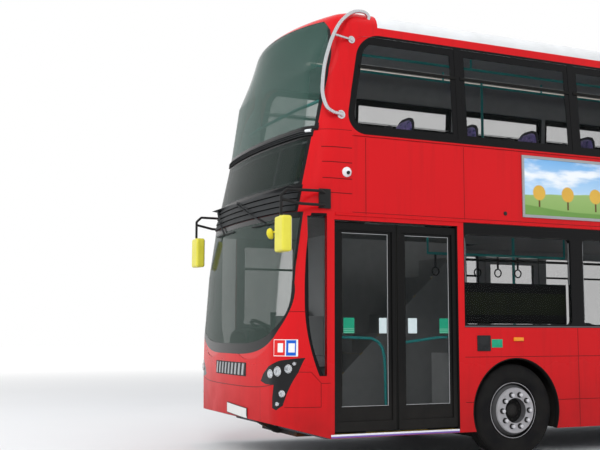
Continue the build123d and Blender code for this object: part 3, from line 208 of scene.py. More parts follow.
class Shape:
    """A mesh in the making: closed solids are added one by one, then it is made a piece of the bus."""

    def __init__(self):
        self.mesh = bmesh.new()

    def skin(self, rings, looped=True, joined=False, capped=True):
        """Quads between rings of points: looped closes each ring, joined closes the row of rings."""
        rows = [[self.mesh.verts.new(point) for point in ring] for ring in rings]
        for one, two in zip(rows, rows[1:] + rows[:1] if joined else rows[1:]):
            for at in range(len(one) if looped else len(one) - 1):
                after = (at + 1) % len(one)
                self.mesh.faces.new((one[at], one[after], two[after], two[at]))
        if capped and not joined:
            self.mesh.faces.new(rows[0])
            self.mesh.faces.new(rows[-1])
        return rows

    def block(self, corner, opposite, bevel=0.0):
        (x0, x1), (y0, y1), (z0, z1) = (sorted(pair) for pair in zip(corner, opposite))
        rings = [[(x0, y0, z), (x1, y0, z), (x1, y1, z), (x0, y1, z)] for z in (z0, z1)]
        edges = {edge for row in self.skin(rings) for vert in row for edge in vert.link_edges}
        if bevel:
            bmesh.ops.bevel(
                self.mesh, geom=list(edges), offset=bevel, segments=2, profile=0.5, affect="EDGES",
            )

    def tube(self, route, radius, sides=10, flat=1.0):
        """A bar along a route of points; flat squeezes it across its second direction."""
        points = [Vector(point) for point in route]
        side, rings = None, []
        for at, point in enumerate(points):
            ahead = (points[min(at + 1, len(points) - 1)] - points[max(at - 1, 0)]).normalized()
            if side is None:
                upright = abs(ahead.z) > 0.9
                side = (ahead.orthogonal() if upright else ahead.cross((0, 0, 1))).normalized()
            side = (side - ahead * side.dot(ahead)).normalized()
            other = ahead.cross(side)
            rings.append([point + radius * (side * c + other * s * flat) for c, s in circle(sides)])
        self.skin(rings)

    def turned(self, centre, axis, profile, count=32, looped=False):
        """A profile of (radius, along the axis) turned about an axis."""
        along = Vector(axis).normalized()
        side = along.orthogonal().normalized()
        other = along.cross(side)
        rings = [
            [Vector(centre) + r * (side * c + other * s) + along * rise for r, rise in profile]
            for c, s in circle(count)
        ]
        self.skin(rings, looped=looped, joined=True)

    def laid(self, tree, corner, across, up, counts, cast, lift):
        """A slab that follows a surface: rays from a grid, lifted back along them by (low, high)."""
        corner, across, up, cast = (Vector(v) for v in (corner, across, up, cast))
        rows = []
        for j in range(counts[1] + 1):
            row = []
            for i in range(counts[0] + 1):
                start = corner + across * (i / counts[0]) + up * (j / counts[1])
                hit = tree.ray_cast(start, cast)[0] or start + cast * 2
                low, high = lift(i / counts[0], j / counts[1]) if callable(lift) else lift
                row.append((self.mesh.verts.new(hit - cast * low), self.mesh.verts.new(hit - cast * high)))
            rows.append(row)
        for one, two in zip(rows, rows[1:]):
            for a, b, c, d in zip(one, one[1:], two[1:], two):
                for layer in (0, 1):
                    self.mesh.faces.new([v[layer] for v in (a, b, c, d)])
        rim = rows[0] + [row[-1] for row in rows[1:]] + rows[-1][-2::-1] + [row[0] for row in rows[-2:0:-1]]
        for one, two in zip(rim, rim[1:] + rim[:1]):
            self.mesh.faces.new((one[0], two[0], two[1], one[1]))

    def made(self, name):
        bmesh.ops.remove_doubles(self.mesh, verts=self.mesh.verts, dist=1e-5)
        bmesh.ops.recalc_face_normals(self.mesh, faces=self.mesh.faces)
        mesh = bpy.data.meshes.new(name)
        self.mesh.to_mesh(mesh)
        self.mesh.free()
        return mesh

    def piece(self, name, finish, body="body", smooth=40):
        return placed(name, self.made(name), finish, body, smooth)


def linked(name, data):
    obj = bpy.data.objects.new(name, data)
    bpy.context.scene.collection.objects.link(obj)
    return obj


def as_mesh(obj):
    """A plain mesh of an object as its modifiers leave it."""
    return bpy.data.meshes.new_from_object(obj.evaluated_get(bpy.context.evaluated_depsgraph_get()))


def placed(name, mesh, finish, body="body", smooth=40):
    """A finished mesh as a piece that rides on a body."""
    mesh.materials.clear()
    mesh.materials.append(finish)
    mesh.polygons.foreach_set("use_smooth", [True] * len(mesh.polygons))
    mesh.set_sharp_from_angle(angle=math.radians(smooth))
    obj = linked(name, mesh)
    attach(obj, body)
    return obj


def grow(name, sizes, plan, finish, body="body", smooth=40):
    """A piece from Geometry Nodes: plan(w, size) gives its geometry from the named sizes."""
    tree = bpy.data.node_groups.new(name, "GeometryNodeTree")
    w, keys = Wire(tree), {}
    for label, value in sizes.items():
        kind = "NodeSocket" + {int: "Int", float: "Float", tuple: "Vector"}[type(value)]
        keys[label] = tree.interface.new_socket(name=label, in_out="INPUT", socket_type=kind).identifier
    tree.interface.new_socket(name="Geometry", in_out="OUTPUT", socket_type="NodeSocketGeometry")
    entry = tree.nodes.new("NodeGroupInput")
    made = plan(w, {label: Wire(tree, entry.outputs[label]) for label in sizes})
    made = w.node("GeometryNodeRealizeInstances", {0: made})
    made = w.node("GeometryNodeSetMaterial", {"Geometry": made, "Material": finish})
    w.node("NodeGroupOutput", {0: made})
    holder = linked(name + ".plan", bpy.data.meshes.new(name + ".plan"))
    grown = holder.modifiers.new("grown", "NODES")
    grown.node_group = tree
    for label, value in sizes.items():
        grown[keys[label]] = value
    mesh = as_mesh(holder)
    bpy.data.objects.remove(holder)
    return placed(name, mesh, finish, body, smooth)


def wheel_coat(axle_x):
    def coat(w):
        x, y, z = w.place()
        r = ((x - axle_x) ** 2 + (z - axle_z) ** 2) ** 0.5
        dust = w.noise(14, 5)
        silver = dust.blend((0.50, 0.50, 0.53), (0.30, 0.29, 0.29))
        ring = r.between(0.129, 0.236, 0.003) | r.between(0.236, 0.268, 0.006) * 0.18
        lip = r.over(0.280, 0.002) * abs(y).over(1.17)
        colour = (ring | lip).blend((0.010, 0.010, 0.010), silver)
        rough = 0.38 + dust * 0.3 + (1 - ring) * 0.15
        return {
            "Base Color": colour, "Metallic": (ring | lip) * 0.35, "Roughness": rough,
            "height": dust * 0.0006,
        }
    return coat


def worn(name, grain, low, high, rough, metal=0.0, bump=None, others=()):
    """A finish of two shades over a noise: rough is a number or (gain, least), bump is a depth or a finer
    noise's (scale, detail, depth), and others holds sockets of its own."""
    def coat(w):
        wear = w.noise(*grain)
        sockets = {"Base Color": wear.blend(low, high), "Metallic": metal, **dict(others)}
        sockets["Roughness"] = wear * rough[0] + rough[1] if isinstance(rough, tuple) else rough
        if isinstance(bump, tuple):
            sockets["height"] = w.noise(*bump[:2]) * bump[2]
        elif bump:
            sockets["height"] = wear * bump
        return sockets
    return finish_of(name, coat)


def transformed(w, geometry, **by):
    return w.node("GeometryNodeTransform", {"Geometry": geometry, **by})


def together(w, pieces):
    return w.node("GeometryNodeJoinGeometry", {0: pieces})


def copies(w, unit, points):
    return w.node("GeometryNodeInstanceOnPoints", {"Points": points, "Instance": unit})


def in_line(w, count, first, pitch):
    return w.node("GeometryNodeMeshLine", {"Count": count, "Start Location": first, "Offset": pitch})


def in_ring(w, unit, count, pitch_radius, face):
    points = w.node("GeometryNodeMeshCircle", {"Vertices": count, "Radius": pitch_radius})
    return transformed(w, copies(w, unit, points), Translation=face)


def straight_cone(w, sides, radius, depth):
    sizes = {"Vertices": sides, "Radius Top": radius, "Radius Bottom": radius, "Depth": depth}
    return w.node("GeometryNodeMeshCone", sizes)


def cylinder(w, sides, radius, depth):
    return w.node("GeometryNodeMeshCylinder", {"Vertices": sides, "Radius": radius, "Depth": depth})


def nut_rings(w, size):
    """Hexagon nuts on round washers on one pitch circle, and the cap's small bolts on another."""
    nut = straight_cone(w, 6, size["nut radius"], size["nut height"])
    nut = together(w, [nut, cylinder(w, 16, size["washer radius"], size["washer height"])])
    bolt = cylinder(w, 6, size["bolt radius"], size["bolt radius"])
    nuts = in_ring(w, nut, size["nuts"], size["nut pitch"], size["disc face"])
    bolts = in_ring(w, bolt, size["bolts"], size["bolt pitch"], size["hub face"])
    return transformed(w, together(w, [nuts, bolts]), Rotation=size["turn"], Translation=size["axle"])


def nut_caps(w, size):
    """A bright domed cap over the end of each nut."""
    low = straight_cone(w, 16, size["cap radius"], size["cap height"])
    top = w.node("GeometryNodeMeshUVSphere", {"Segments": 16, "Rings": 8, "Radius": size["cap radius"]})
    top = transformed(w, top, Translation=size["cap top"], Scale=(1, 1, 0.5))
    ring = in_ring(w, together(w, [low, top]), size["nuts"], size["nut pitch"], size["cap face"])
    return transformed(w, ring, Rotation=size["turn"], Translation=size["axle"])


nut_steel = worn("nut_steel", (60, 3), (0.010, 0.010, 0.010), (0.045, 0.043, 0.041), (0.4, 0.35), 0.5)
cap_steel = worn("cap_steel", (60, 3), (0.55, 0.55, 0.58), (0.72, 0.72, 0.74), (0.3, 0.2), 0.6)
wheel_silver = {
    front_axle_x: finish_of("wheel_silver_front", wheel_coat(front_axle_x)),
    rear_axle_x: finish_of("wheel_silver_rear", wheel_coat(rear_axle_x)),
}
for body, place, x, side, disc_y, hub_y in rolling:
    dress(wheel_silver[x], "wheel_" + place)
    ring = {
        "nuts": 10, "nut pitch": 0.1675, "turn": (-side * math.pi / 2, 0.0, 0.0), "axle": (x, 0.0, axle_z),
    }
    sizes = {
        "nut radius": 0.0195, "nut height": 0.014,
        "washer radius": 0.0285, "washer height": 0.006, "disc face": (0.0, 0.0, disc_y + 0.004),
        "bolts": 8, "bolt pitch": 0.098, "bolt radius": 0.011, "hub face": (0.0, 0.0, hub_y + 0.003),
        **ring,
    }
    grow("wheel_nuts_" + place, sizes, nut_rings, nut_steel, body)
    sizes = {
        "cap radius": 0.0178, "cap height": 0.012, "cap top": (0.0, 0.0, 0.006),
        "cap face": (0.0, 0.0, disc_y + 0.0255), **ring,
    }
    grow("nut_caps_" + place, sizes, nut_caps, cap_steel, body)
    cap = Shape()
    cap.turned(
        (x, side * (hub_y - 0.002), axle_z), (0, side, 0),
        ((0, 0), (0.074, 0), (0.074, 0.010), (0.062, 0.022), (0.030, 0.028), (0, 0.029)), 28,
    )
    cap.piece("hub_cap_" + place, nut_steel, body)


# Tyres: moulded rubber with four grooves round the tread and a bead that sits on the rim, twins at the
# rear. The sidewalls are dusty and the tread is worn pale by the road.
tyre_half = (
    # radius, distance from the middle
    (0.4790, 0.010), (0.4700, 0.012), (0.4700, 0.022), (0.4790, 0.024), (0.4788, 0.058), (0.4700, 0.060),
    (0.4700, 0.070), (0.4782, 0.072), (0.4768, 0.098), (0.4700, 0.113), (0.4560, 0.125), (0.4300, 0.134),
    (0.4000, 0.1375), (0.3600, 0.1360), (0.3480, 0.1372), (0.3400, 0.1340), (0.3180, 0.1260),
    (0.3020, 0.1170), (0.2920, 0.1090), (0.2866, 0.0950),
)
tyre_profile = tyre_half + tuple((r, -rise) for r, rise in reversed(tyre_half))


def rubber_coat(w):
    dust = w.noise(5, 5).over(0.48, 0.2)
    colour = (dust * 0.6).blend((0.005, 0.005, 0.006), (0.022, 0.021, 0.019))
    return {"Base Color": colour, "Roughness": dust * 0.25 + 0.68, "height": w.noise(220, 2) * 0.0005}


tyre_rubber = finish_of("tyre_rubber", rubber_coat)
for body, place, x, side, disc_y, hub_y in rolling:
    rubber = Shape()
    for y in (1.085,) if x > 0 else (1.08, 0.766):
        rubber.turned((x, side * y, axle_z), (0, side, 0), tyre_profile, 80, looped=True)
    tread = rubber.piece("tyre_tread_" + place, tyre_rubber, body, 30)
    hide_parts("tyre_" + place)


# Floors: plywood boards on the rails under a speckled vinyl, coved at the walls, with a yellow line along
# each step. The board between the decks is lined pale grey below, as the ceiling of the lower saloon.
def floor_coat(w):
    x, y, z = w.place()
    nz = w.facing()[2]
    speck = w.noise(300, 1).over(0.62, 0.02)
    tint = w.noise(2, 4).blend((0.060, 0.068, 0.085), (0.095, 0.10, 0.115))
    colour = speck.blend(tint, (0.40, 0.42, 0.46))
    edge = (x.between(3.17, 4.57) | x.between(-0.30, 0.90)) * y.between(1.12, 1.21) * z.between(0.31, 0.33)
    edge = edge | x.between(-2.06, -2.0) * z.between(0.69, 0.71)
    colour = edge.blend(colour, (0.62, 0.40, 0.02))
    below = (1 - nz.over(-0.4, 0.1)) * z.over(2.3)
    colour = below.blend(colour, w.noise(4, 2).blend((0.30, 0.31, 0.31), (0.38, 0.38, 0.37)))
    return {"Base Color": colour, "Roughness": 0.6 - speck * 0.1, "height": w.noise(400, 2) * 0.0003}


floor_vinyl = finish_of("floor_vinyl", floor_coat)
dress(floor_vinyl, "lower_floor", "upper_floor")


# Saloon linings: pale grey laminate and moulded covers on the bulkhead, cab walls, wheel boxes and the
# stairs, whose treads carry a yellow nosing.
def lining_tones(w):
    scuff = w.noise(9, 5)
    return scuff, scuff.blend((0.40, 0.41, 0.41), (0.52, 0.53, 0.53))


def lining_coat(w):
    x, y, z = w.place()
    nz = w.facing()[2]
    scuff, colour = lining_tones(w)
    run = (3.84 - x).maths("MODULO", 0.245)
    nosing = run.between(-0.01, 0.035) * nz.over(0.6, 0.1) * x.between(1.86, 3.85)
    nosing = nosing * z.between(0.5, 2.3) * (1 - y.over(-0.5))
    colour = nosing.blend(colour, (0.62, 0.42, 0.02))
    return {"Base Color": colour, "Roughness": 0.55 + scuff * 0.2, "height": w.noise(260, 2) * 0.0003}


def wheel_box_coat(w):
    x, y, z = w.place()
    nx, ny, nz = w.facing()
    colour = lining_tones(w)[1]
    centre = x.over(0, 0.01) * (front_axle_x - rear_axle_x) + rear_axle_x
    inward = nx * (centre - x) + nz * (axle_z - z) + ny * ((y.over(0, 0.01) * 2 - 1) * 1.3 - y)
    colour = inward.over(0.0, 0.03).blend(
        colour, w.noise(6, 5).blend((0.008, 0.008, 0.008), (0.035, 0.032, 0.028)),
    )
    return {"Base Color": colour, "Roughness": 0.8, "height": w.noise(70, 4) * 0.001}


lining = finish_of("saloon_lining", lining_coat)
dress(lining, "bulkhead", "stairs", "cab_screen", "cab_door")
dress(finish_of("wheel_box_lining", wheel_box_coat), "wheel_boxes")


# Dashboard: grained grey-black plastic mouldings with the steering wheel on its column, a hooded
# instrument panel in front of the driver and the ticket machine beside it on the dashboard's top.
driver_y = -0.76


def dashboard_coat(w):
    x, y, z = w.place()
    rim = ((x - 4.43) ** 2 + (y - driver_y) ** 2 + (z - 1.29) ** 2) ** 0.5
    wheel = (1 - rim.over(0.245)) * z.over(1.14)
    tone = w.noise(3, 3).blend((0.150, 0.158, 0.162), (0.205, 0.212, 0.215))
    grain = w.node("ShaderNodeTexVoronoi", {"Vector": w.node("ShaderNodeTexCoord", out=3), "Scale": 260.0})
    colour = wheel.blend(tone, (0.014, 0.014, 0.015))
    return {"Base Color": colour, "Roughness": 0.62 - wheel * 0.2, "height": grain * 0.0004}


def instrument_coat(w):
    x, y, z = w.place()
    rings = 0
    for dial_y in (driver_y - 0.14, driver_y, driver_y + 0.14):
        r = ((y - dial_y) ** 2 + (z - 1.235) ** 2) ** 0.5
        marks = r.between(0.028, 0.036, 0.001) * w.noise(90, 1).over(0.5, 0.02)
        rings = r.between(0.040, 0.046, 0.001) | marks | rings
    back = 1 - x.over(4.585, 0.002)
    colour = (rings * back).blend((0.02, 0.02, 0.022), (0.72, 0.72, 0.70))
    return {"Base Color": colour, "Roughness": 0.45, "height": w.noise(200, 2) * 0.0003}


dash_plastic = finish_of("dash_plastic", dashboard_coat)
instrument_face = finish_of("instrument_face", instrument_coat)
dress(dash_plastic, "dashboard")
hood = Shape()
hood_rings = []
for step in range(13):
    turn = math.pi * step / 12
    y, z = driver_y - 0.27 * math.cos(turn), 1.14 + 0.17 * math.sin(turn) ** 0.6
    hood_rings.append(
        [
            (4.53, y * 0.98 - 0.015, z + 0.03), (4.80, y, z), (4.80, y * 0.98 - 0.015, z - 0.018),
            (4.53, y * 0.96 - 0.03, z + 0.008),
        ]
    )
hood.skin(hood_rings)
hood.piece("instrument_hood", dash_plastic)
panel = Shape()
panel.block((4.58, -0.98, 1.155), (4.60, -0.54, 1.31), 0.01)
panel.piece("instrument_panel", instrument_face)
machine = Shape()
machine.block((4.64, -0.44, 1.135), (4.80, -0.25, 1.30), 0.015)
machine.block((4.67, -0.40, 1.30), (4.77, -0.29, 1.33), 0.008)
machine.piece("ticket_machine", instrument_face)


# Seats: moulded shells on a cantilevered frame, two pads of foam in purple moquette sewn over each, and a
# black grab loop at the aisle corner. Every row is the same unit, bolted to the floor.
def blown_pad(name, rings, swell):
    """A foam pad in its cover: a closed slab, blown up by pressure as cloth and held to a small swell."""
    slab = Shape()
    slab.skin(rings)
    start = linked(name + ".slab", slab.made(name + ".slab"))
    voxels = start.modifiers.new("voxels", "REMESH")
    voxels.mode, voxels.voxel_size = "VOXEL", 0.009
    mesh = as_mesh(start)
    bpy.data.objects.remove(start)
    pad = linked(name + ".pad", mesh)
    rest = [vertex.co.copy() for vertex in mesh.vertices]
    cloth = pad.modifiers.new("foam", "CLOTH")
    cloth.settings.quality = 4
    cloth.settings.use_pressure = True
    cloth.settings.uniform_pressure_force = 4.0
    cloth.settings.effector_weights.gravity = 0.0
    for step in range(1, 15):
        bpy.context.scene.frame_set(step)
    blown = as_mesh(pad)
    pad.modifiers.remove(cloth)
    bpy.context.scene.frame_set(1)
    for vertex, there, before in zip(mesh.vertices, blown.vertices, rest):
        move = there.co - before
        vertex.co = before + move * min(1.0, swell / max(move.length, 1e-6))
    bpy.data.objects.remove(pad)
    return mesh


def sewn(mesh, seams, across):
    """Presses sewn channels into a pad: seams are (axis, place, half width, depth) along a direction."""
    for vertex in mesh.vertices:
        for axis, place, half, depth in seams:
            near = math.exp(-(((vertex.co[axis] - place) / half) ** 2))
            vertex.co += Vector(across) * -depth * near


def thinned(name, mesh, share):
    pad = linked(name, mesh)
    soft = pad.modifiers.new("even", "SMOOTH")
    soft.iterations = 3
    fewer = pad.modifiers.new("fewer", "DECIMATE")
    fewer.ratio = share
    thin = as_mesh(pad)
    bpy.data.objects.remove(pad)
    return thin


def squarer(share, power):
    return math.copysign(abs(share) ** power, share)


def slab_rings(levels, half_width):
    """Rings of a rounded slab: each level is (place of its middle, half its length, share of the width)."""
    return [
        [(x + length * squarer(c, 0.45), half_width * share * squarer(s, 0.45), z) for c, s in circle(28)]
        for (x, z), length, share in levels
    ]


seat_pad = blown_pad(
    "seat_pad",
    slab_rings(
        (
            ((0.035, 0.404), 0.195, 0.96), ((0.035, 0.420), 0.205, 1.0), ((0.035, 0.438), 0.205, 1.0),
            ((0.030, 0.448), 0.190, 0.93),
        ),
        0.200,
    ),
    0.010,
)
sewn(seat_pad, ((0, -0.095, 0.007, 0.006), (0, 0.165, 0.007, 0.006)), (0, 0, 1))
lean = (-0.120, 0.640)
back_rings = []
for share, half in (
    (0.00, 0.165), (0.02, 0.185), (0.30, 0.200), (0.62, 0.200), (0.82, 0.185), (0.93, 0.150),
    (0.975, 0.105), (0.99, 0.06),
):
    x, z = -0.183 + lean[0] * share, 0.455 + lean[1] * share * 0.94
    thick = 0.020 if 0.01 < share < 0.95 else 0.012
    back_rings.append([(x + thick * squarer(c, 0.6), half * squarer(s, 0.35), z) for c, s in circle(24)])
back_pad = blown_pad("back_pad", back_rings, 0.008)
sewn(back_pad, ((2, 0.62, 0.008, 0.005), (2, 0.90, 0.008, 0.005)), (1, 0, 0))
pads = bmesh.new()
for mesh in (seat_pad, back_pad):
    pads.from_mesh(thinned("thin", mesh, 0.12))
pad_mesh = bpy.data.meshes.new("pads")
pads.to_mesh(pad_mesh)
pads.free()


def shell_of(shape, y, aisle):
    """One seat's moulded shell and its grab loop, at a distance across the bus from the frame's middle."""
    rows = []
    for x, z, half in (
        (-0.19, 0.40, 0.19), (-0.212, 0.46, 0.207), (-0.245, 0.66, 0.212), (-0.290, 0.90, 0.205),
        (-0.308, 1.00, 0.180), (-0.318, 1.05, 0.135), (-0.322, 1.072, 0.07),
    ):
        rows.append(
            [
                (x + 0.010, y - half, z), (x + 0.018, y - half * 0.9, z), (x + 0.018, y + half * 0.9, z),
                (x + 0.010, y + half, z), (x - 0.004, y + half * 0.96, z), (x - 0.016, y, z),
                (x - 0.004, y - half * 0.96, z),
            ]
        )
    shape.skin(rows)
    shape.block((-0.20, y - 0.20, 0.388), (0.235, y + 0.20, 0.404), 0.006)
    if aisle:
        hand = math.copysign(1, aisle)
        loop = [
            (-0.300, y + hand * 0.090, 1.040), (-0.322, y + hand * 0.120, 1.068),
            (-0.338, y + hand * 0.165, 1.062), (-0.338, y + hand * 0.200, 1.020),
            (-0.322, y + hand * 0.208, 0.950), (-0.296, y + hand * 0.204, 0.900),
        ]
        shape.tube(loop, 0.011, 8)


seat_y = 0.213  # each seat's middle from the frame's


def seat_frame(name, aisle):
    unit = Shape()
    for y in (-seat_y, seat_y):
        shell_of(unit, y, aisle if y * aisle > 0 else 0)
    unit.block((-0.19, -0.41, 0.350), (-0.15, 0.41, 0.386), 0.005)
    unit.block((0.12, -0.41, 0.350), (0.16, 0.41, 0.386), 0.005)
    legs = ((-0.24, -0.19), (0.19, 0.24))
    for low, high in legs:
        unit.block((-0.035, low, 0.02), (0.035, high, 0.36), 0.01)
    for low, high in legs:
        unit.block((-0.19, low, 0.33), (0.16, high, 0.355), 0.004)
    unit.block((-0.055, -0.28, 0.001), (0.055, 0.28, 0.022), 0.004)
    return unit.made(name)


row_pitch = 0.79


def bank_plan(unit, places):
    """Rows of one unit at equal pitch: each bank is (rows, first foot)."""
    def plan(w, size):
        whole = w.node("GeometryNodeObjectInfo", {"Object": unit}, 4)
        banks = [
            in_line(w, size["rows %d" % at], size["first foot %d" % at], size["pitch"])
            for at in range(len(places))
        ]
        return copies(w, whole, together(w, banks))
    sizes = {"pitch": (-row_pitch, 0.0, 0.0)}
    for at, (rows, foot) in enumerate(places):
        sizes["rows %d" % at], sizes["first foot %d" % at] = rows, foot
    return sizes, plan


def moquette_coat(w):
    at = w.node("ShaderNodeTexCoord", out=3)
    cell = w.node("ShaderNodeTexVoronoi", {"Vector": at, "Scale": 34.0}, 1, distance="CHEBYCHEV").parts()[0]
    weave = w.node("ShaderNodeTexWave", {"Vector": at, "Scale": 260.0, "Distortion": 1.5})
    rub = w.noise(3, 4)
    colour = rub.blend((0.120, 0.090, 0.280), (0.190, 0.150, 0.400))
    colour = cell.over(0.80, 0.02).blend(colour, (0.28, 0.20, 0.50))
    colour = (1 - cell.over(0.14, 0.02)).blend(colour, (0.030, 0.040, 0.130))
    return {"Base Color": colour, "Roughness": 0.85, "Sheen Weight": 0.35, "height": weave * 0.0004}


moquette = finish_of("moquette", moquette_coat)
seat_plastic = worn(
    "seat_plastic", (20, 4), (0.020, 0.020, 0.024), (0.045, 0.045, 0.052), (0.3, 0.35),
    bump=(300, 1, 0.0002),
)
bank_y = 0.7537
lower_z, dais_z, upper_z = 0.32, 0.70, 2.44
seat_banks = (
    # name, side of the aisle, ((rows, first foot), ...)
    ("upper_near", -1, ((11, (3.90, bank_y, upper_z)),)),
    ("upper_off", 1, ((1, (3.90, -bank_y, upper_z)), (7, (1.265, -bank_y, upper_z)))),
    (
        "lower_near", -1,
        ((1, (1.605, bank_y, lower_z)), (2, (-0.75, bank_y, lower_z)), (1, (-3.71, bank_y, dais_z))),
    ),
    ("lower_off", 1, ((2, (-0.14, -bank_y, lower_z)), (1, (-3.71, -bank_y, dais_z)))),
)
pair = bmesh.new()
for y in (-seat_y, seat_y):
    pad_mesh.transform(Matrix.Translation((0, y, 0)))
    pair.from_mesh(pad_mesh)
    pad_mesh.transform(Matrix.Translation((0, -y, 0)))
pair_mesh = bpy.data.meshes.new("pad_pair")
pair.to_mesh(pair_mesh)
pair.free()
for name, aisle, places in seat_banks:
    for part, mesh, finish in (
        ("pads", pair_mesh, moquette), ("frames", seat_frame("unit", aisle), seat_plastic),
    ):
        unit = bpy.data.objects.new("unit", mesh)
        sizes, plan = bank_plan(unit, places)
        bank = grow("seat_%s_%s" % (part, name), sizes, plan, finish)
        bpy.data.objects.remove(unit)
        if part == "pads":
            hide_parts("seats_upper" if "upper" in name else "seats_lower")
driver_at = (4.30, driver_y, 0.47)
cab_pad = pad_mesh.copy()
cab_pad.transform(Matrix.Translation(driver_at))
driver_pad = placed("driver_pads", cab_pad, moquette)
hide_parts("driver_seat")
driver_frame = Shape()
shell_of(driver_frame, 0, 0)
driver_frame.block((-0.10, -0.16, 0.30), (0.16, 0.16, 0.388), 0.02)
driver_frame.block((-0.06, -0.12, 0.06), (0.12, 0.12, 0.31), 0.03)
driver_frame.block((-0.14, -0.18, 0.002), (0.20, 0.18, 0.06), 0.01)
bmesh.ops.translate(driver_frame.mesh, verts=driver_frame.mesh.verts, vec=driver_at)
driver_frame.piece("driver_seat_frame", seat_plastic)


# Handrails: steel tube in a teal powder coat, poles from floor to ceiling and rails held under both
# ceilings by short drops. Straps with round grips hang from the nearside rail of the lower saloon.
teal = worn(
    "teal_powder_coat", (12, 4), (0.030, 0.40, 0.40), (0.060, 0.54, 0.52), (0.2, 0.25), bump=0.0004,
    others={"Coat Weight": 0.3},
)
dress(teal, "handrails")
rails = Shape()
upper_rail_z, lower_rail_z, lower_rail_y = 4.36, 2.16, 0.42
upper_ceiling_z, lower_ceiling_z = 4.478, 2.383
for y in (0.30, -0.30):
    rails.tube([(x, y, upper_rail_z) for x in (-3.9, -3.0, 0.0, 4.10)], 0.016, 12)
    for x in (-3.7, -2.2, -0.7, 0.8, 2.3, 3.8):
        rails.tube([(x, y, upper_rail_z), (x, y, upper_ceiling_z)], 0.012, 8)
for ends in ((-4.0, -2.1), (-1.7, -0.4), (1.1, 3.0)):
    rails.tube([(x, lower_rail_y, lower_rail_z) for x in ends], 0.016, 12)
    for x in ends:
        rails.tube([(x, lower_rail_y, lower_rail_z), (x, lower_rail_y, lower_ceiling_z)], 0.012, 8)
rails.tube([(x, -lower_rail_y, lower_rail_z) for x in (-4.0, -2.1)], 0.016, 12)
rails.tube(
    [
        (4.53, -1.085, 3.60), (4.60, -0.95, 3.60), (4.64, -0.5, 3.60), (4.64, 0.5, 3.60),
        (4.60, 0.95, 3.60), (4.53, 1.085, 3.60),
    ],
    0.017, 12,
)
for x in (-3.99, -2.11):
    rails.tube([(x, -lower_rail_y, lower_rail_z), (x, -lower_rail_y, lower_ceiling_z)], 0.012, 8)
rails.piece("ceiling_rails", teal)


def strap_plan(w, size):
    """Straps at equal pitch along the rails: a web with a round grip below."""
    web = w.node("GeometryNodeMeshCube", {"Size": size["web"]})
    web = transformed(w, web, Translation=size["web drop"])
    ring = w.node("GeometryNodeCurvePrimitiveCircle", {"Resolution": 14, "Radius": size["grip radius"]})
    thick = w.node("GeometryNodeCurvePrimitiveCircle", {"Resolution": 7, "Radius": size["grip thickness"]})
    grip = w.node("GeometryNodeCurveToMesh", {"Curve": ring, "Profile Curve": thick})
    grip = transformed(w, grip, Rotation=(math.pi / 2, 0, 0), Translation=size["grip drop"])
    starts = (size["fore start"], size["middle start"])
    lines = [in_line(w, size["straps"], start, size["pitch"]) for start in starts]
    return copies(w, together(w, [web, grip]), together(w, lines))


strap_sizes = {
    "web": (0.024, 0.005, 0.15), "web drop": (0.0, 0.0, -0.085), "grip radius": 0.045,
    "grip thickness": 0.008, "grip drop": (0.0, 0.0, -0.20), "straps": 5, "pitch": (-0.28, 0.0, 0.0),
    "fore start": (2.9, lower_rail_y, lower_rail_z), "middle start": (-0.5, lower_rail_y, lower_rail_z),
}
grow("hanging_straps", strap_sizes, strap_plan, seat_plastic)


# Coach panels: glass-fibre mouldings at the nose and aluminium sheets along the sides, sprayed in bright
# red, with a black bonded band round the lower windows, black frames round the upper ones, and a skirt
# painted darker red, partly as road dust and partly as painted shade.
red_deep, red_bright = (0.54, 0.0060, 0.0090), (0.64, 0.0090, 0.0130)


def coachwork(name, marks=None, white=None, pane=None):
    """Red paint outside, black in the openings and pale lining inside; marks gives dark lines (seams at
    joints, painted shade at creases and grooves) and black areas.
    """
    def coat(w):
        x, y, z = w.place()
        nx, ny, nz = w.facing()
        lean = nx * (((x - 4.0) | 0.0) + ((x + 4.6) & 0.0))
        lean = lean + ny * y + nz * ((z - 3.9) | 0.0)
        outer, inner = lean.over(0.25, 0.06), (lean * -1).over(0.25, 0.06)
        grime_and_shade = w.noise(4, 5)
        # Darker red towards the bottom: partly road dust, partly painted shade where the lower body gets less
        # light.
        low = 1 - z.over(0.70, 0.50)
        red = w.noise(0.7, 2).blend(red_deep, red_bright)
        red = (low * grime_and_shade * 0.8).blend(red, (0.24, 0.012, 0.012))
        streak = w.noise(2.5, 4, (6, 6, 0.35)).over(0.60, 0.12) * 0.18
        red = streak.blend(red, (0.30, 0.012, 0.012))
        rough = 0.24 + low * grime_and_shade * 0.5
        height = w.noise(3, 1) * 0.002
        if white:
            roof = white(x, y, z)
            red = roof.blend(red, (grime_and_shade * 0.6).blend((0.78, 0.79, 0.80), (0.45, 0.45, 0.44)))
            rough = rough + roof * 0.2
        if marks:
            seams, black = marks(x, y, z)
            red = black.blend(red, (0.002, 0.002, 0.0025))
            # Dark lines from marks: joints of the panels, and painted shade along the bumper's crease and the
            # corner grooves.
            red = (seams * 0.8).blend(red, (0.090, 0.004, 0.004))
            height = height - seams * 0.004
        grey = lining_tones(w)[1]
        colour = inner.blend(outer.blend((0.012, 0.012, 0.012), red), grey)
        rough = rough * outer + (1 - outer) * 0.6
        sockets = {
            "Base Color": colour, "Roughness": rough, "Coat Weight": outer * 0.06, "Coat Roughness": 0.04,
            "height": height,
        }
        if pane:
            glass = pane(x, y, z)
            sockets["Base Color"] = glass.blend(colour, (0.006, 0.008, 0.008))
            sockets["Alpha"] = 1 - glass * 0.8
        return sockets
    return finish_of(name, coat)


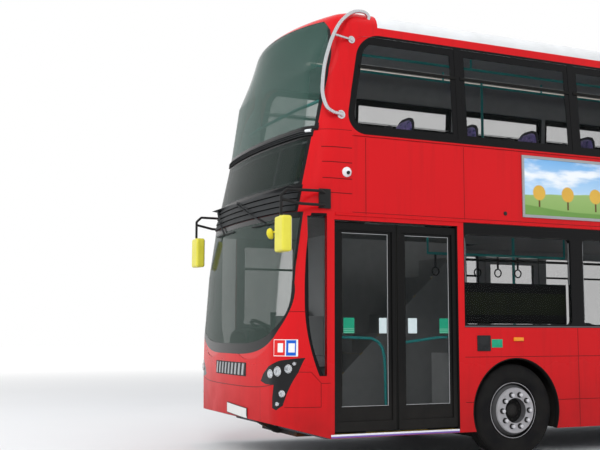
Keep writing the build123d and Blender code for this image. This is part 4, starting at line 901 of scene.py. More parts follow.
def lower_side_marks(side):
    def marks(x, y, z):
        ends = 3.09 if side > 0 else 4.585
        seams = (z.near(1.035, 0.0035) | z.near(0.580, 0.0035)) * (1 - x.over(ends))
        verticals = x.near(1.641, 0.0035)
        for joint_x in (-1.36, -3.50, -4.40):
            verticals = verticals | x.near(joint_x, 0.0035)
        seams = seams | verticals * (1 - z.over(1.33))
        band = z.between(1.335, 2.412) * (1 - x.over(ends)) * x.over(-4.90)
        if side > 0:
            band = band * (1 - x.between(-0.372, 0.972))
        return seams, band
    return marks


def window_band(x, z, round_by=0.235):
    """The black frame round the upper windows: its front edge leans back and has wide corners."""
    dx, dz = x + 0.187 * (z - 3.43) - 4.178, abs(z - 3.7615) - 0.2915
    far = ((dx | 0.0) ** 2 + (dz | 0.0) ** 2) ** 0.5
    return 1 - far.over(round_by, 0.003)


def upper_side_marks(x, y, z):
    seams = x.near(4.224, 0.003) | x.near(3.072, 0.003) | x.near(-3.60, 0.003)
    seams = seams * (1 - z.over(3.20)) | z.near(3.212, 0.003) | z.near(2.452, 0.003)
    return seams, window_band(x, z) * x.over(-4.955)


def front_mid_marks(x, y, z):
    # The four pressed grooves are drawn as dark lines with a bump: painted shade in their hollows.
    groove_shade = z.near(3.085, 0.005) | z.near(2.936, 0.005) | z.near(2.775, 0.005) | z.near(2.632, 0.005)
    seams = groove_shade * (1 - x.over(4.69)) * abs(y).over(1.15)
    black = (1 - abs(y).over(1.150, 0.004)) * (z.between(2.44, 2.71) | z.over(3.19))
    return seams, black


def front_low_marks(x, y, z):
    """The joint by the windscreen, the towing flap on each corner, a painted shade line along the bumper's
    crease, the quarterlight.
    """
    seams = z.near(1.478, 0.003) * x.between(4.86, 5.03)
    flap = z.near(0.912, 0.003) * x.between(4.816, 4.95) | x.near(4.712, 0.003) * z.between(0.584, 0.805)
    flap = flap | z.near(0.584, 0.003) * x.between(4.712, 5.04)
    flap = flap | z.near(0.805, 0.003) * x.between(4.612, 4.712)
    flap = flap | (z - x).near(-3.903, 0.004) * x.between(4.708, 4.816)
    # The bumper's crease is drawn as a dark line with a bump: painted shade along the fold.
    crease_shade = (z - (abs(y) / 1.2) ** 5.0 * 0.10).near(0.745, 0.004) * (1 - abs(y).over(1.02))
    seams = (seams | flap) * abs(y).over(1.10) | crease_shade | abs(y).near(0.80, 0.002) * (1 - z.over(0.745))
    lead = 4.876 - ((z - 1.65) | 0.0) ** 2 * 0.12
    lead = lead - ((1.55 - z) | 0.0) ** 2 * 0.32
    quarter = (lead - x).over(0.0) * x.over(4.652) * z.between(0.872, 2.426) * abs(y).over(1.1)
    return seams, quarter


def dome_marks(x, y, z):
    black = window_band(x, z) * abs(y).over(1.1)
    brow = (1 - abs(y).over(1.182, 0.004)) * (1 - z.over(3.30)) * x.over(4.4)
    return z.near(3.262, 0.003) * abs(y).over(1.15), black | brow


def tail_marks(x, y, z):
    seams = z.near(1.035, 0.005) | abs(y).near(0.98, 0.005) * (1 - z.over(2.43))
    return seams, z.between(1.90, 2.30) * (1 - abs(y).over(0.75)) * (1 - x.over(-5.1))


def emergency_marks(x, y, z):
    """The band of the side goes on across the door."""
    return z.near(1.035, 0.0035) | z.near(0.580, 0.0035), z.between(1.335, 2.30)


def emergency_pane(x, y, z):
    return x.between(0.284, 0.996) * z.between(1.372, 2.196) * (y + 1.252).near(0.0, 0.0045)


def roof_white(x, y, z):
    return z.over(4.372, 0.004)


coach_red = coachwork("coach_red")
dress(coach_red, "rear_upper", "rear_mid_panel", "engine_lid")
dress(coachwork("coach_red_emergency", emergency_marks, pane=emergency_pane), "emergency_door")
dress(coachwork("coach_red_front", front_low_marks), "front_panel", "front_bumper")
dress(coachwork("coach_red_corner", front_mid_marks), "front_mid_panel")
dress(coachwork("coach_red_dome", dome_marks), "front_dome")
dress(coachwork("coach_red_lower_near", lower_side_marks(1)), "side_lower_near")
dress(coachwork("coach_red_lower_off", lower_side_marks(-1)), "side_lower_off")
dress(coachwork("coach_red_upper", upper_side_marks), "side_upper_near", "side_upper_off")
dress(coachwork("coach_red_tail", tail_marks), "rear_lower")
dress(coachwork("roof_white", white=roof_white), "roof")


# Trims of the body: extruded rubber and aluminium, pushed on round the wheel arches, along the gutter over
# the doors, under the windows and at the step edge.
def step_edge_coat(w):
    z = w.place()[2]
    wear = w.noise(20, 4)
    stripe = 1 - z.over(0.306, 0.002)
    colour = stripe.blend(wear.blend((0.70, 0.70, 0.74), (0.84, 0.84, 0.88)), (0.20, 0.12, 0.42))
    return {"Base Color": colour, "Roughness": wear * 0.3 + 0.35, "height": wear * 0.0003}


black_rubber = worn(
    "black_rubber", (8, 4), (0.004, 0.004, 0.004), (0.011, 0.011, 0.010), (0.3, 0.55),
    bump=(180, 2, 0.0002),
)
drawn = (40, 3, (0.05, 1, 12))
bright_metal = worn("bright_metal", drawn, (0.36, 0.37, 0.39), (0.56, 0.57, 0.58), (0.3, 0.25), 0.9, 0.0001)
sill_metal = worn("sill_metal", drawn, (0.075, 0.08, 0.085), (0.13, 0.135, 0.14), (0.3, 0.35), 0.3, 0.0001)
skin_y = 1.2605  # just outside the side panels
arches = Shape()
arch_start = math.asin((0.290 - axle_z) / 0.535)
for x in (front_axle_x, rear_axle_x):
    for side in (1, -1):
        rings = []
        for step in range(49):
            turn = arch_start + (math.pi - 2 * arch_start) * step / 48
            c, s = math.cos(turn), math.sin(turn)
            rings.append(
                [
                    (x + r * c, side * y, axle_z + r * s)
                    for r, y in (
                        (0.530, 1.205), (0.544, 1.205), (0.544, 1.261), (0.540, 1.265), (0.534, 1.264),
                        (0.530, 1.255),
                    )
                ]
            )
        arches.skin(rings)
arches.piece("arch_rubbers", black_rubber)
gutter, sills = Shape(), Shape()
for side in (1, -1):
    sill_spans = ((-4.90, -0.38), (0.98, 3.088)) if side > 0 else ((-4.90, 0.188), (1.092, 4.58))
    for shape, low, high, proud_y, spans in (
        (gutter, 2.413, 2.438, 1.26 + 0.012, ((-4.98, 4.56),)),
        (gutter, 3.216, 3.232, 1.26 + 0.007, ((-4.97, 4.35),)),
        (sills, 1.338, 1.352, 1.26 + 0.004, sill_spans),
    ):
        section = ((skin_y, low), (proud_y, low + 0.003), (proud_y, high - 0.006), (skin_y, high))
        for span in spans:
            shape.skin([[(x, side * y, z) for y, z in section] for x in span])
gutter.piece("gutter_rails", coach_red)
sills.piece("window_sill_strips", sill_metal)
edge = Shape()
edge.block((3.175, skin_y, 0.290), (4.61, 1.269, 0.322), 0.002)
edge.block((-0.29, skin_y, 0.290), (0.89, 1.269, 0.322), 0.002)
edge.piece("step_edges", finish_of("step_edge", step_edge_coat))


# Glazing: tinted laminated screens at the nose with a black printed border, toughened panes along the
# sides and rear, all bonded in from outside under the skin.
def glazing(name, tint, clear, border, gloss=0.3):
    """Glass from border(), which gives the printed black edge and where the red sealer laps over it."""
    def coat(w):
        x, y, z = w.place()
        rim = w.node("ShaderNodeLayerWeight", {"Blend": 0.25})
        haze = w.noise(3, 4)
        see = clear + rim * (0.80 - clear) + haze * 0.04
        edge, lap = border(x, y, z)
        colour = edge.blend(haze.blend(tint, tuple(0.7 * part for part in tint)), (0.004, 0.004, 0.0045))
        colour = lap.blend(colour, w.noise(0.7, 2).blend(red_deep, red_bright))
        alpha = see | edge | lap
        rough = haze * 0.03 + 0.02 + (edge | lap) * 0.2
        return {"Base Color": colour, "Alpha": alpha, "Roughness": rough, "Specular IOR Level": gloss}
    return finish_of(name, coat)


def screen_border(x, y, z):
    """The printed edge: thick along the foot, narrow up the sides."""
    inner = (abs(y) / 1.168) ** 3.4 + (((1.75 - z) | 0.0) / 0.585) ** 3.4
    outer = (abs(y) / 1.202) ** 3.5 + (((1.86 - z) | 0.0) / 0.800) ** 3.5
    return inner.over(1.0, 0.01) | z.over(2.385), outer.over(1.0, 0.004) * (1 - z.over(2.36))


def blind_border(x, y, z):
    """The printed edge of the blind's glass, which no sealer laps over."""
    return abs(y).over(1.105) | z.over(3.175) | (1 - z.over(2.72)), abs(y).over(2.0)


def brow_border(x, y, z):
    inner = (abs(y) / 1.152) ** 5.0 + (((z - 3.55) | 0.0) / 0.965) ** 5.0
    reach = abs(y) + ((z - 3.78) | 0.0) ** 2 * 0.40
    edge = inner.over(1.0, 0.01) | reach.over(1.142, 0.002) | (1 - z.over(3.305))
    return edge, reach.over(1.168) * z.over(3.33)


def side_border(x, y, z):
    """The upper windows' printed edges and their rounded front end, black outside the glass, red beyond."""
    upper = z.over(3.2)
    front = upper * x.over(3.6)
    pillars = abs(((x + 7.40) / 1.5).maths("FRACT") - 0.5).over(0.5 - 0.089 / 1.5, 0.001)
    edge = (pillars | z.over(4.182) | (1 - z.over(3.328))) * upper
    return edge | (1 - window_band(x, z, 0.165)) * front, (1 - window_band(x, z)) * front


dress(glazing("windscreen_glass", (0.045, 0.080, 0.065), 0.24, screen_border), "windscreen")
dress(glazing("blind_glass", (0.020, 0.035, 0.030), 0.22, blind_border, 0.2), "destination_glass")
dress(glazing("brow_glass", (0.055, 0.130, 0.105), 0.32, brow_border), "upper_windscreen")
side_glass = glazing("side_glass", (0.006, 0.008, 0.008), 0.14, side_border, 0.12)
dress(side_glass, "glass_near", "glass_off", "rear_glass")


# Window frames: bright aluminium edges inside each pane, and black rails across the windows where the
# hoppers open, bonded in with the glass.
upper_windows = [(3.130, 4.374), (1.63, 3.07), (0.13, 1.57), (-1.37, 0.07), (-2.87, -1.43), (-4.37, -2.93)]
near_windows = [(1.711, 3.080), (1.020, 1.546), (-1.310, -0.420), (-2.810, -1.430), (-4.150, -2.930)]
off_windows = [(3.86, 4.56), (1.19, 1.57), (-1.31, 0.07), (-2.810, -1.430), (-4.150, -2.930)]
bars, bright = Shape(), Shape()


def lean_at(z):
    return 1.26 - 0.088 * max(0.0, z - 3.25) / 1.29


def side_bar(shape, side, x, z, deep=(0.0, 0.012)):
    """A bar on the side of the bus, following its lean: x and z limits, and how far it stands back."""
    rings = []
    for height in z:
        face = lean_at(height)
        rings.append(
            [
                (x[0], side * (face - deep[0]), height), (x[1], side * (face - deep[0]), height),
                (x[1], side * (face - deep[1]), height), (x[0], side * (face - deep[1]), height),
            ]
        )
    shape.skin(rings)


for side in (1, -1):
    for x0, x1 in upper_windows:
        side_bar(
            bars, side, (x0 - 0.004, x1 + 0.004 - (0.11 if x1 > 4 else 0)), (3.925, 3.957), (-0.006, 0.003),
        )
        side_bar(bright, side, (x0 + 0.010, x0 + 0.020), (3.30, 3.92), (0.014, 0.030))
        side_bar(bright, side, (x0 + 0.02, x1 - 0.06), (3.960, 3.968), (0.014, 0.022))
    for x0, x1 in near_windows if side > 0 else off_windows:
        foot = 1.80 if x0 > 1.6 and side > 0 else 1.42  # the route board hides the first pane's foot
        side_bar(bright, side, (x0 + 0.010, x0 + 0.020), (foot, 2.25), (0.014, 0.030))
        side_bar(bright, side, (x1 - 0.020, x1 - 0.010), (foot, 2.25), (0.014, 0.030))
        side_bar(bars, side, (x0 + 0.02, x1 - 0.02), (2.020, 2.045), (0.013, 0.030))
bars.piece("hopper_rails", black_rubber)
bright.piece("glazing_edges", bright_metal)


# Front louvre bands: black slatted mouldings above and below the destination glass, clipped to the
# corner panels, with a small white marker lamp at each end.
def surface_of(*names):
    points, faces = [], []
    for name in names:
        start = len(points)
        points += [vertex.co.copy() for vertex in node[name].data.vertices]
        faces += [[start + at for at in face.vertices] for face in node[name].data.polygons]
    return BVHTree.FromPolygons(points, faces)


nose = surface_of(
    "front_bumper", "front_panel", "front_mid_panel", "windscreen", "destination_glass", "front_dome",
    "upper_windscreen", "headlamps",
)
slat_black = worn(
    "slat_black", (10, 4), (0.010, 0.011, 0.012), (0.034, 0.036, 0.038), (0.3, 0.4), bump=(150, 2, 0.0002),
)
marker_white = worn(
    "marker_white", (90, 2, (1, 6, 1)), (0.70, 0.72, 0.74), (0.85, 0.86, 0.88), 0.15, bump=0.0006,
    others={"Coat Weight": 0.6},
)


ray_x, backwards = 7, (-1, 0, 0)  # rays to the nose start ahead of the bus and run back


def over_nose(shape, corner, across, up, counts, lift):
    """A slab over the nose: its corner and two edges are (y, z), as seen from ahead."""
    shape.laid(nose, (ray_x, *corner), (0, *across), (0, *up), counts, backwards, lift)


def nose_hit(y, z):
    """The spot of the nose at y and z, and its normal."""
    return nose.ray_cast(Vector((ray_x, y, z)), Vector(backwards))[:2]


louvres = Shape()
for count, low, pitch, tall, wide in ((4, 2.452, 0.062, 0.052, 1.125), (3, 3.208, 0.021, 0.016, 1.150)):
    for step in range(count):
        over_nose(
            louvres, (-wide, low + pitch * step), (2 * wide, 0), (0, tall), (56, 3),
            lambda u, v: (0.0004, 0.004 + 0.010 * (1 - v)),
        )
louvres.piece("louvre_bands", slat_black)
markers = Shape()
for side in (1, -1):
    over_nose(
        markers, (side * 1.085, 3.240), (side * 0.045, 0), (0, 0.030), (5, 4),
        lambda u, v: (0.001, 0.013 + 0.014 * math.sin(math.pi * v)),
    )
markers.piece("brow_markers", marker_white)


# Destination display: a dot-matrix board behind its own glass, in a black case with a pale bezel. It is
# switched off, so the dots are dim and blank. The same board stands low in the first side window.
def display_coat(along, low, high):
    def coat(w):
        x, y, z = w.place()
        run = x if along == "x" else y
        dots = ((run * 90).maths("FRACT") - 0.5) ** 2 + ((z * 90).maths("FRACT") - 0.5) ** 2
        dot = 1 - dots.over(0.09, 0.03)
        board = z.between(low, high)
        colour = (dot * board).blend(
            (0.003, 0.003, 0.0035), w.noise(9, 3).blend((0.020, 0.030, 0.006), (0.045, 0.060, 0.012)),
        )
        return {"Base Color": colour, "Roughness": 0.45, "height": dot * 0.0005}
    return coat


board = Shape()
over_nose(board, (-1.06, 2.76), (1.62, 0), (0, 0.37), (30, 4), (-0.060, -0.045))
over_nose(board, (0.62, 2.76), (0.42, 0), (0, 0.37), (10, 4), (-0.060, -0.045))
board.piece("destination_board", finish_of("front_display", display_coat("y", 2.79, 3.10)))
case = Shape()
over_nose(case, (-1.13, 2.66), (2.26, 0), (0, 0.58), (40, 4), (-0.110, -0.085))
case.piece("display_case", slat_black)
bezel = Shape()
over_nose(bezel, (-1.08, 3.14), (2.14, 0), (0, 0.018), (40, 1), (-0.055, -0.035))
over_nose(bezel, (-1.08, 2.735), (2.14, 0), (0, 0.018), (40, 1), (-0.055, -0.035))
over_nose(bezel, (0.572, 2.753), (0.030, 0), (0, 0.387), (2, 4), (-0.055, -0.035))
bezel.piece("display_bezel", bright_metal)
side_board = Shape()
side_board.block((1.72, 1.150, 1.375), (3.07, 1.185, 1.800), 0.006)
side_board.piece("side_route_board", finish_of("side_display", display_coat("x", 1.47, 1.70)))


# Doors: two leaves to each doorway, black powder-coated aluminium frames round dark glass, with rubber
# along the meeting edges, a teal rail inside and blank green and pale labels at hand height.
glass_foot, glass_head = 0.575, 2.250


def leaf_coat(w):
    x, y, z = w.place()
    ny = w.facing()[1]
    panes = x.between(3.253, 3.763) | x.between(3.963, 4.470)
    panes = panes | x.between(-0.21, 0.205) | x.between(0.395, 0.81)
    pane = y.near(1.217, 0.0045) * abs(ny).over(0.9, 0.02) * (panes * z.between(glass_foot, glass_head))
    rim = w.node("ShaderNodeLayerWeight", {"Blend": 0.25})
    speck = w.noise(40, 3)
    dust = (1 - z.over(0.75, 0.4)) * w.noise(5, 4)
    frame_tone = (dust * 0.35).blend(
        speck.blend((0.003, 0.003, 0.003), (0.007, 0.007, 0.007)), (0.045, 0.041, 0.036),
    )
    colour = pane.blend(frame_tone, (0.006, 0.008, 0.008))
    alpha = 1 - pane * (0.78 - rim * 0.6)
    return {
        "Base Color": colour, "Alpha": alpha, "Roughness": 0.38 - pane * 0.34 + dust * 0.2,
        "height": speck * 0.0002 * (1 - pane),
    }


def label_coat(w):
    x, y, z = w.place()
    fade = w.noise(30, 3)
    green = x.over(4.20) | (1 - x.over(3.50))
    bars = (z * 55).maths("FRACT").between(0.35, 0.65, 0.05) * (1 - z.over(1.33))
    tone = green.blend(
        fade.blend((0.50, 0.62, 0.62), (0.66, 0.72, 0.74)),
        fade.blend((0.010, 0.22, 0.13), (0.020, 0.30, 0.17)),
    )
    tone = (bars * green * 0.6).blend(tone, (0.30, 0.55, 0.42))
    return {"Base Color": tone, "Roughness": fade * 0.2 + 0.4, "height": fade * 0.0001}


door_black = finish_of("door_black", leaf_coat)
labels = finish_of("door_labels", label_coat)
leaf_face_y, tag_z = 1.2202, 1.275
for door, rear_x, fore_x, leaf_w in (("entrance", 3.174, 4.560, 0.685), ("exit", -0.290, 0.890, 0.582)):
    for end, jamb, reach in (("rear", rear_x, 1), ("fore", fore_x, -1)):
        body = "%s_leaf_%s" % (door, end)
        dress(door_black, body)
        dress(black_rubber, "%s_arm_%s" % (door, end))
        rail, trims = Shape(), Shape()
        far = jamb + reach * leaf_w
        a, b = jamb + reach * 0.085, far - reach * 0.092
        y = 1.172
        if end == "fore":
            route = [
                (a, 1.200, 1.236), (a + reach * 0.02, 1.180, 1.236), (a + reach * 0.10, y, 1.236),
                (b - reach * 0.16, y, 1.226), (b - reach * 0.08, y, 1.190), (b - reach * 0.035, y, 1.130),
                (b - reach * 0.012, y, 1.040), (b - reach * 0.004, y, 0.90), (b, y, 0.60),
                (b, 1.180, 0.555), (b, 1.200, 0.548),
            ]
        else:
            route = [
                (a, 1.200, 1.236), (a + reach * 0.02, 1.180, 1.236), (a + reach * 0.10, y, 1.232),
                (b - reach * 0.03, y, 1.186), (b, 1.180, 1.180), (b, 1.200, 1.178),
            ]
        rail.tube(route, 0.015, 12)
        rail.piece("door_rail_%s_%s" % (door, end), teal, body)
        trims.block((far - reach * 0.008, 1.201, 0.345), (far + reach * 0.006, 1.238, 2.350), 0.003)
        trims.piece("door_rubber_%s_%s" % (door, end), black_rubber, body)
        edging = Shape()
        x0, x1 = sorted((a, b))
        edging.block((x0, leaf_face_y, glass_head - 0.004), (x1, 1.2245, glass_head))
        edging.block((x0, leaf_face_y, glass_foot), (x1, 1.2245, glass_foot + 0.004))
        edging.block((x0, leaf_face_y, glass_foot), (x0 + 0.005, 1.2265, glass_head))
        edging.piece("door_edging_%s_%s" % (door, end), bright_metal, body)
        if door == "entrance":
            tags = Shape()
            for x0, x1 in ((4.337, 4.456), (3.979, 4.064), (3.633, 3.735), (3.264, 3.369)):
                if min(jamb, far) < x0 < max(jamb, far):
                    tags.block((x0, leaf_face_y, tag_z), (x1, 1.2212, tag_z + 0.150))
            tags.piece("door_tags_%s" % end, labels, body)


# Side fittings: a black door control box, a blank green plate and an amber side marker behind the entrance,
# a camera dome on the corner panel and a small round cap by the advert.
def plate_finish(name, low, high):
    return worn(name, (25, 4), low, high, (0.25, 0.35), bump=(60, 2, 0.0002))


amber = worn(
    "amber_lens", (70, 2, (6, 1, 1)), (0.72, 0.20, 0.008), (0.88, 0.34, 0.02), 0.2, bump=0.0006,
    others={"Coat Weight": 0.5},
)
green_plate = plate_finish("green_plate", (0.015, 0.28, 0.16), (0.03, 0.36, 0.20))
control = Shape()
control.block((2.780, skin_y, 1.095), (2.945, 1.270, 1.255), 0.006)
control.block((2.800, 1.269, 1.150), (2.925, 1.274, 1.240), 0.004)
for x in (2.815, 2.862, 2.905):
    control.turned(
        (x, 1.269, 1.122), (0, 1, 0), ((0, 0), (0.010, 0), (0.010, 0.004), (0.006, 0.007), (0, 0.008)), 12,
    )
control.piece("door_control", slat_black)
plate = Shape()
plate.block((2.630, skin_y, 1.130), (2.765, 1.263, 1.215), 0.001)
plate.piece("green_plate", green_plate)
marker_z = 1.215
marker_lenses = Shape()
for side in (1, -1):
    for x in (2.43, -1.20, -4.45):
        back_corner = (x - 0.062, side * skin_y, marker_z - 0.020)
        marker_lenses.block(back_corner, (x + 0.062, side * 1.278, marker_z + 0.020), 0.007)
marker_lenses.piece("side_markers", amber)
dome = Shape()
dome.turned(
    (4.436, skin_y, 2.843), (0, 1, 0),
    (
        (0, 0), (0.050, 0), (0.050, 0.010), (0.042, 0.020), (0.036, 0.022), (0.030, 0.036), (0.016, 0.046),
        (0, 0.049),
    ),
    28,
)
dome.piece("camera_dome", marker_white)
spots = Shape()
spots.turned(
    (4.438, 1.286, 2.836), (0.1, 1, -0.25),
    ((0, 0), (0.019, 0), (0.019, 0.018), (0.012, 0.024), (0, 0.025)), 18,
)
spots.turned(
    (2.561, skin_y, 2.532), (0, 1, 0), ((0, 0), (0.022, 0), (0.022, 0.006), (0.012, 0.012), (0, 0.013)), 18,
)
spots.piece("dark_caps", slat_black)


# Headlamps: a gloss black moulding under a clear cover, with chromed bowls and glass lenses for dip, main
# beam and indicator, and two smaller lamps below.
def lens_coat(w):
    flute = w.noise(150, 1, (1, 1, 0.2))
    return {
        "Base Color": flute.blend((0.40, 0.42, 0.45), (0.80, 0.82, 0.85)), "Alpha": flute * 0.5 + 0.05,
        "Roughness": 0.05, "Specular IOR Level": 0.5, "height": flute * 0.0006,
    }


lamp_case = worn(
    "lamp_case", (12, 3), (0.003, 0.003, 0.004), (0.007, 0.007, 0.008), (0.1, 0.05),
    others={"Specular IOR Level": 0.25},
)
bowl_chrome = worn(
    "bowl_chrome", (120, 2), (0.62, 0.64, 0.66), (0.85, 0.86, 0.88), (0.15, 0.10), 0.95, 0.0006,
)
lamp_lens = finish_of("lamp_lens", lens_coat)
dress(lamp_case, "headlamps")
bowls, lenses = Shape(), Shape()
for side in (1, -1):
    for y, z, r in (
        (0.998, 0.890, 0.043), (1.089, 0.916, 0.047), (1.176, 0.942, 0.042), (1.210, 0.990, 0.019),
        (1.128, 0.709, 0.036), (1.083, 0.611, 0.022),
    ):
        spot, normal = nose_hit(side * y, z)
        ahead = (normal if normal.x > 0 else -normal).normalized()
        ahead = (ahead + Vector((0.35, 0, 0))).normalized()
        bowls.turned(
            spot, ahead,
            ((r * 0.80, -0.006), (r, -0.004), (r, 0.007), (r * 0.93, 0.010), (r * 0.85, 0.004)), 26,
            looped=True,
        )
        bowls.turned(
            spot, ahead,
            (
                (0, 0.0005), (r * 0.45, 0.0015), (r * 0.82, 0.006), (r * 0.84, 0.001), (r * 0.4, -0.006),
                (0, -0.006),
            ),
            26,
        )
        lenses.turned(
            spot, ahead,
            (
                (0, 0.012), (r * 0.4, 0.011), (r * 0.84, 0.007), (r * 0.84, 0.0065), (r * 0.4, 0.0105),
                (0, 0.0115),
            ),
            26,
        )
bowls.piece("lamp_bowls", bowl_chrome)
lenses.piece("lamp_lenses", lamp_lens)


# Nose fittings: a vent of bright slats on a black back in the middle, a blank plate on the bumper, and a
# blank two-part label on the nearside corner.
def nose_label_coat(w):
    x, y, z = w.place()
    fade = w.noise(25, 3)
    blue = y.over(1.155, 0.002)
    rim = 1 - z.between(1.064, 1.210, 0.001) * y.between(1.044, 1.218, 0.001)
    tone = blue.blend(
        fade.blend((0.62, 0.02, 0.02), (0.70, 0.03, 0.03)),
        fade.blend((0.01, 0.09, 0.50), (0.015, 0.12, 0.58)),
    )
    square = z.between(1.095, 1.180) * (y.between(1.085, 1.135) | y.between(1.175, 1.212))
    tone = (rim | square | y.near(1.155, 0.004)).blend(tone, (0.80, 0.80, 0.80))
    return {"Base Color": tone, "Roughness": fade * 0.2 + 0.3, "height": fade * 0.0001}


def white_plate_coat(w):
    x, y, z = w.place()
    fade = w.noise(14, 4)
    rim = 1 - (z + 0.0588 * y).between(0.468, 0.561, 0.001) * y.between(0.027, 0.523, 0.001)
    return {
        "Base Color": rim.blend(fade.blend((0.62, 0.62, 0.60), (0.75, 0.75, 0.73)), (0.05, 0.05, 0.05)),
        "Roughness": 0.35, "height": fade * 0.0002,
    }


vent = Shape()
for step in range(9):
    over_nose(
        vent, (-0.34 + 0.092 * step, 0.855), (0.058, 0), (0.020, 0.115), (3, 6),
        lambda u, v: (0.001, 0.006 + 0.006 * u),
    )
vent.piece("nose_vent_slats", bright_metal)
vent_back = Shape()
over_nose(vent_back, (-0.36, 0.845), (0.86, 0), (0, 0.135), (24, 6), (0.0006, 0.003))
vent_back.piece("nose_vent_back", slat_black)
front_plate = Shape()
over_nose(front_plate, (0.020, 0.460), (0.510, -0.030), (0, 0.106), (8, 3), (0.002, 0.010))
front_plate.piece("front_plate", finish_of("white_plate", white_plate_coat))
label = Shape()
cast = Vector((-0.62, -0.78, 0)).normalized()
label.laid(
    nose, Vector((5.105, 1.037, 1.058)) - cast * 0.8, (-0.169, 0.188, 0), (0, 0, 0.158), (14, 4), cast,
    (0.0006, 0.0018),
)
label.piece("corner_label", finish_of("corner_label", nose_label_coat))


# Mirrors: yellow moulded housings on black tube arms, the glass facing back, and a small round yellow
# mirror on the nearside arm for the kerb.
def mirror_coat(w):
    x, y, z = w.place()
    yellow = x.over(5.060) * (1 - z.over(2.380)) * (1 - abs(abs(y) - 1.274).over(0.108))
    fade = w.noise(8, 4)
    colour = yellow.blend(
        fade.blend((0.012, 0.012, 0.012), (0.022, 0.022, 0.022)),
        fade.blend((0.62, 0.56, 0.035), (0.76, 0.70, 0.085)),
    )
    return {
        "Base Color": colour, "Roughness": 0.32 + fade * 0.2, "Coat Weight": yellow * 0.4,
        "height": w.noise(120, 2) * 0.0002,
    }


mirror_yellow = finish_of("mirror_yellow", mirror_coat)
dress(mirror_yellow, "mirrors")
mirror_faces = Shape()
for side in (1, -1):
    mirror_faces.block((5.0625, side * 1.190, 2.055), (5.0665, side * 1.358, 2.355), 0.0015)
mirror_faces.piece(
    "mirror_glass",
    worn("mirror_glass", (20, 3), (0.80, 0.82, 0.83), (0.88, 0.89, 0.90), (0.04, 0.02), 1.0),
)
round_mirror = Shape()
round_mirror.turned(
    (5.150, 1.040, 2.225), (0.9, -0.35, -0.2),
    (
        (0, -0.030), (0.030, -0.030), (0.052, -0.018), (0.055, 0.0), (0.046, 0.020), (0.024, 0.032),
        (0, 0.036),
    ),
    28,
)
round_mirror.tube([(5.135, 1.075, 2.235), (5.120, 1.175, 2.245)], 0.010, 8)
round_mirror.piece("kerb_mirror", plate_finish("kerb_yellow", (0.60, 0.50, 0.02), (0.74, 0.64, 0.05)))


# Tree guard: bent stainless tube on two flanges, each held by three small bolts. It keeps branches off the
# nearside corner of the roof, and they polish it.
def smooth_route(points, steps=6):
    """A soft curve through points."""
    spots = [Vector(point) for point in points]
    ends = [spots[0] * 2 - spots[1], *spots, spots[-1] * 2 - spots[-2]]
    route = []
    for a, b, c, d in zip(ends, ends[1:], ends[2:], ends[3:]):
        for step in range(steps):
            t = step / steps
            even = 2 * b + (c - a) * t + (2 * a - 5 * b + 4 * c - d) * t * t
            route.append(0.5 * (even + (3 * b - a - 3 * c + d) * t ** 3))
    return route + [ends[-2]]


polished_steel = worn(
    "polished_steel", (50, 3, (1, 1, 0.2)), (0.50, 0.51, 0.53), (0.66, 0.67, 0.69), (0.2, 0.16), 1.0,
    0.0001,
)
guard = Shape()
guard_bends = (
    (4.490, 1.262, 3.415), (4.590, 1.282, 3.425), (4.668, 1.294, 3.470), (4.712, 1.292, 3.600),
    (4.704, 1.286, 3.760), (4.680, 1.280, 3.910), (4.632, 1.262, 4.060), (4.575, 1.242, 4.200),
    (4.465, 1.200, 4.375), (4.320, 1.168, 4.500), (4.190, 1.158, 4.526), (4.125, 1.148, 4.490),
    (4.130, 1.135, 4.435),
)
guard.tube(smooth_route(guard_bends), 0.019, 14)
guard.tube([(4.560, 1.236, 4.222), (4.450, 1.215, 4.214), (4.345, 1.196, 4.205)], 0.013, 12)
for centre, r in (((4.490, 1.244, 3.415), 0.044), ((4.345, 1.190, 4.205), 0.038)):
    guard.turned(
        centre, (0, 1, 0.05), ((0, 0), (r, 0), (r, 0.009), (r * 0.6, 0.014), (r * 0.5, 0.024), (0, 0.026)),
        24,
    )
    for c, s in circle(3):
        spot = (centre[0] + r * 0.72 * c, centre[1] + 0.008, centre[2] + r * 0.72 * s)
        guard.turned(spot, (0, 1, 0.05), ((0, 0), (0.006, 0), (0.006, 0.005), (0, 0.006)), 6)
guard_piece = guard.piece("tree_guard_tube", polished_steel)
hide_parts("tree_guard")


# Wipers: long arms of black pressed steel from pivots above the windscreen, with the rubber blades parked
# along the top of the glass.
def on_nose(y, z, off):
    return (nose_hit(y, z)[0].x + off, y, z)


wipe = Shape()
pivot_z, end_z = 2.652, 2.354
for pivot_y, end_y in ((-0.143, 0.712), (-0.960, -0.452)):
    wipe.turned(
        on_nose(pivot_y, pivot_z, 0.0), (1, 0, 0.2),
        ((0, 0), (0.026, 0), (0.026, 0.020), (0.016, 0.032), (0, 0.034)), 18,
    )
    route = [
        on_nose(pivot_y + (end_y - pivot_y) * t, pivot_z + (end_z - pivot_z) * t, 0.030 - 0.010 * t)
        for t in (0, 0.15, 0.35, 0.6, 0.8, 1.0)
    ]
    wipe.tube(route, 0.010, 8, 0.6)
    wipe.tube([(x, y, z + 0.028) for x, y, z in route[:4]], 0.005, 6)
    blade = [on_nose(end_y + t, end_z, 0.012) for t in (-0.33, -0.2, -0.08, 0.0, 0.08, 0.2, 0.33)]
    wipe.tube(blade, 0.008, 6)
    wipe.tube([(x - 0.006, y, z) for x, y, z in blade], 0.004, 6, 0.5)
wiper_piece = wipe.piece("wiper_arms", slat_black)
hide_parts("wipers")


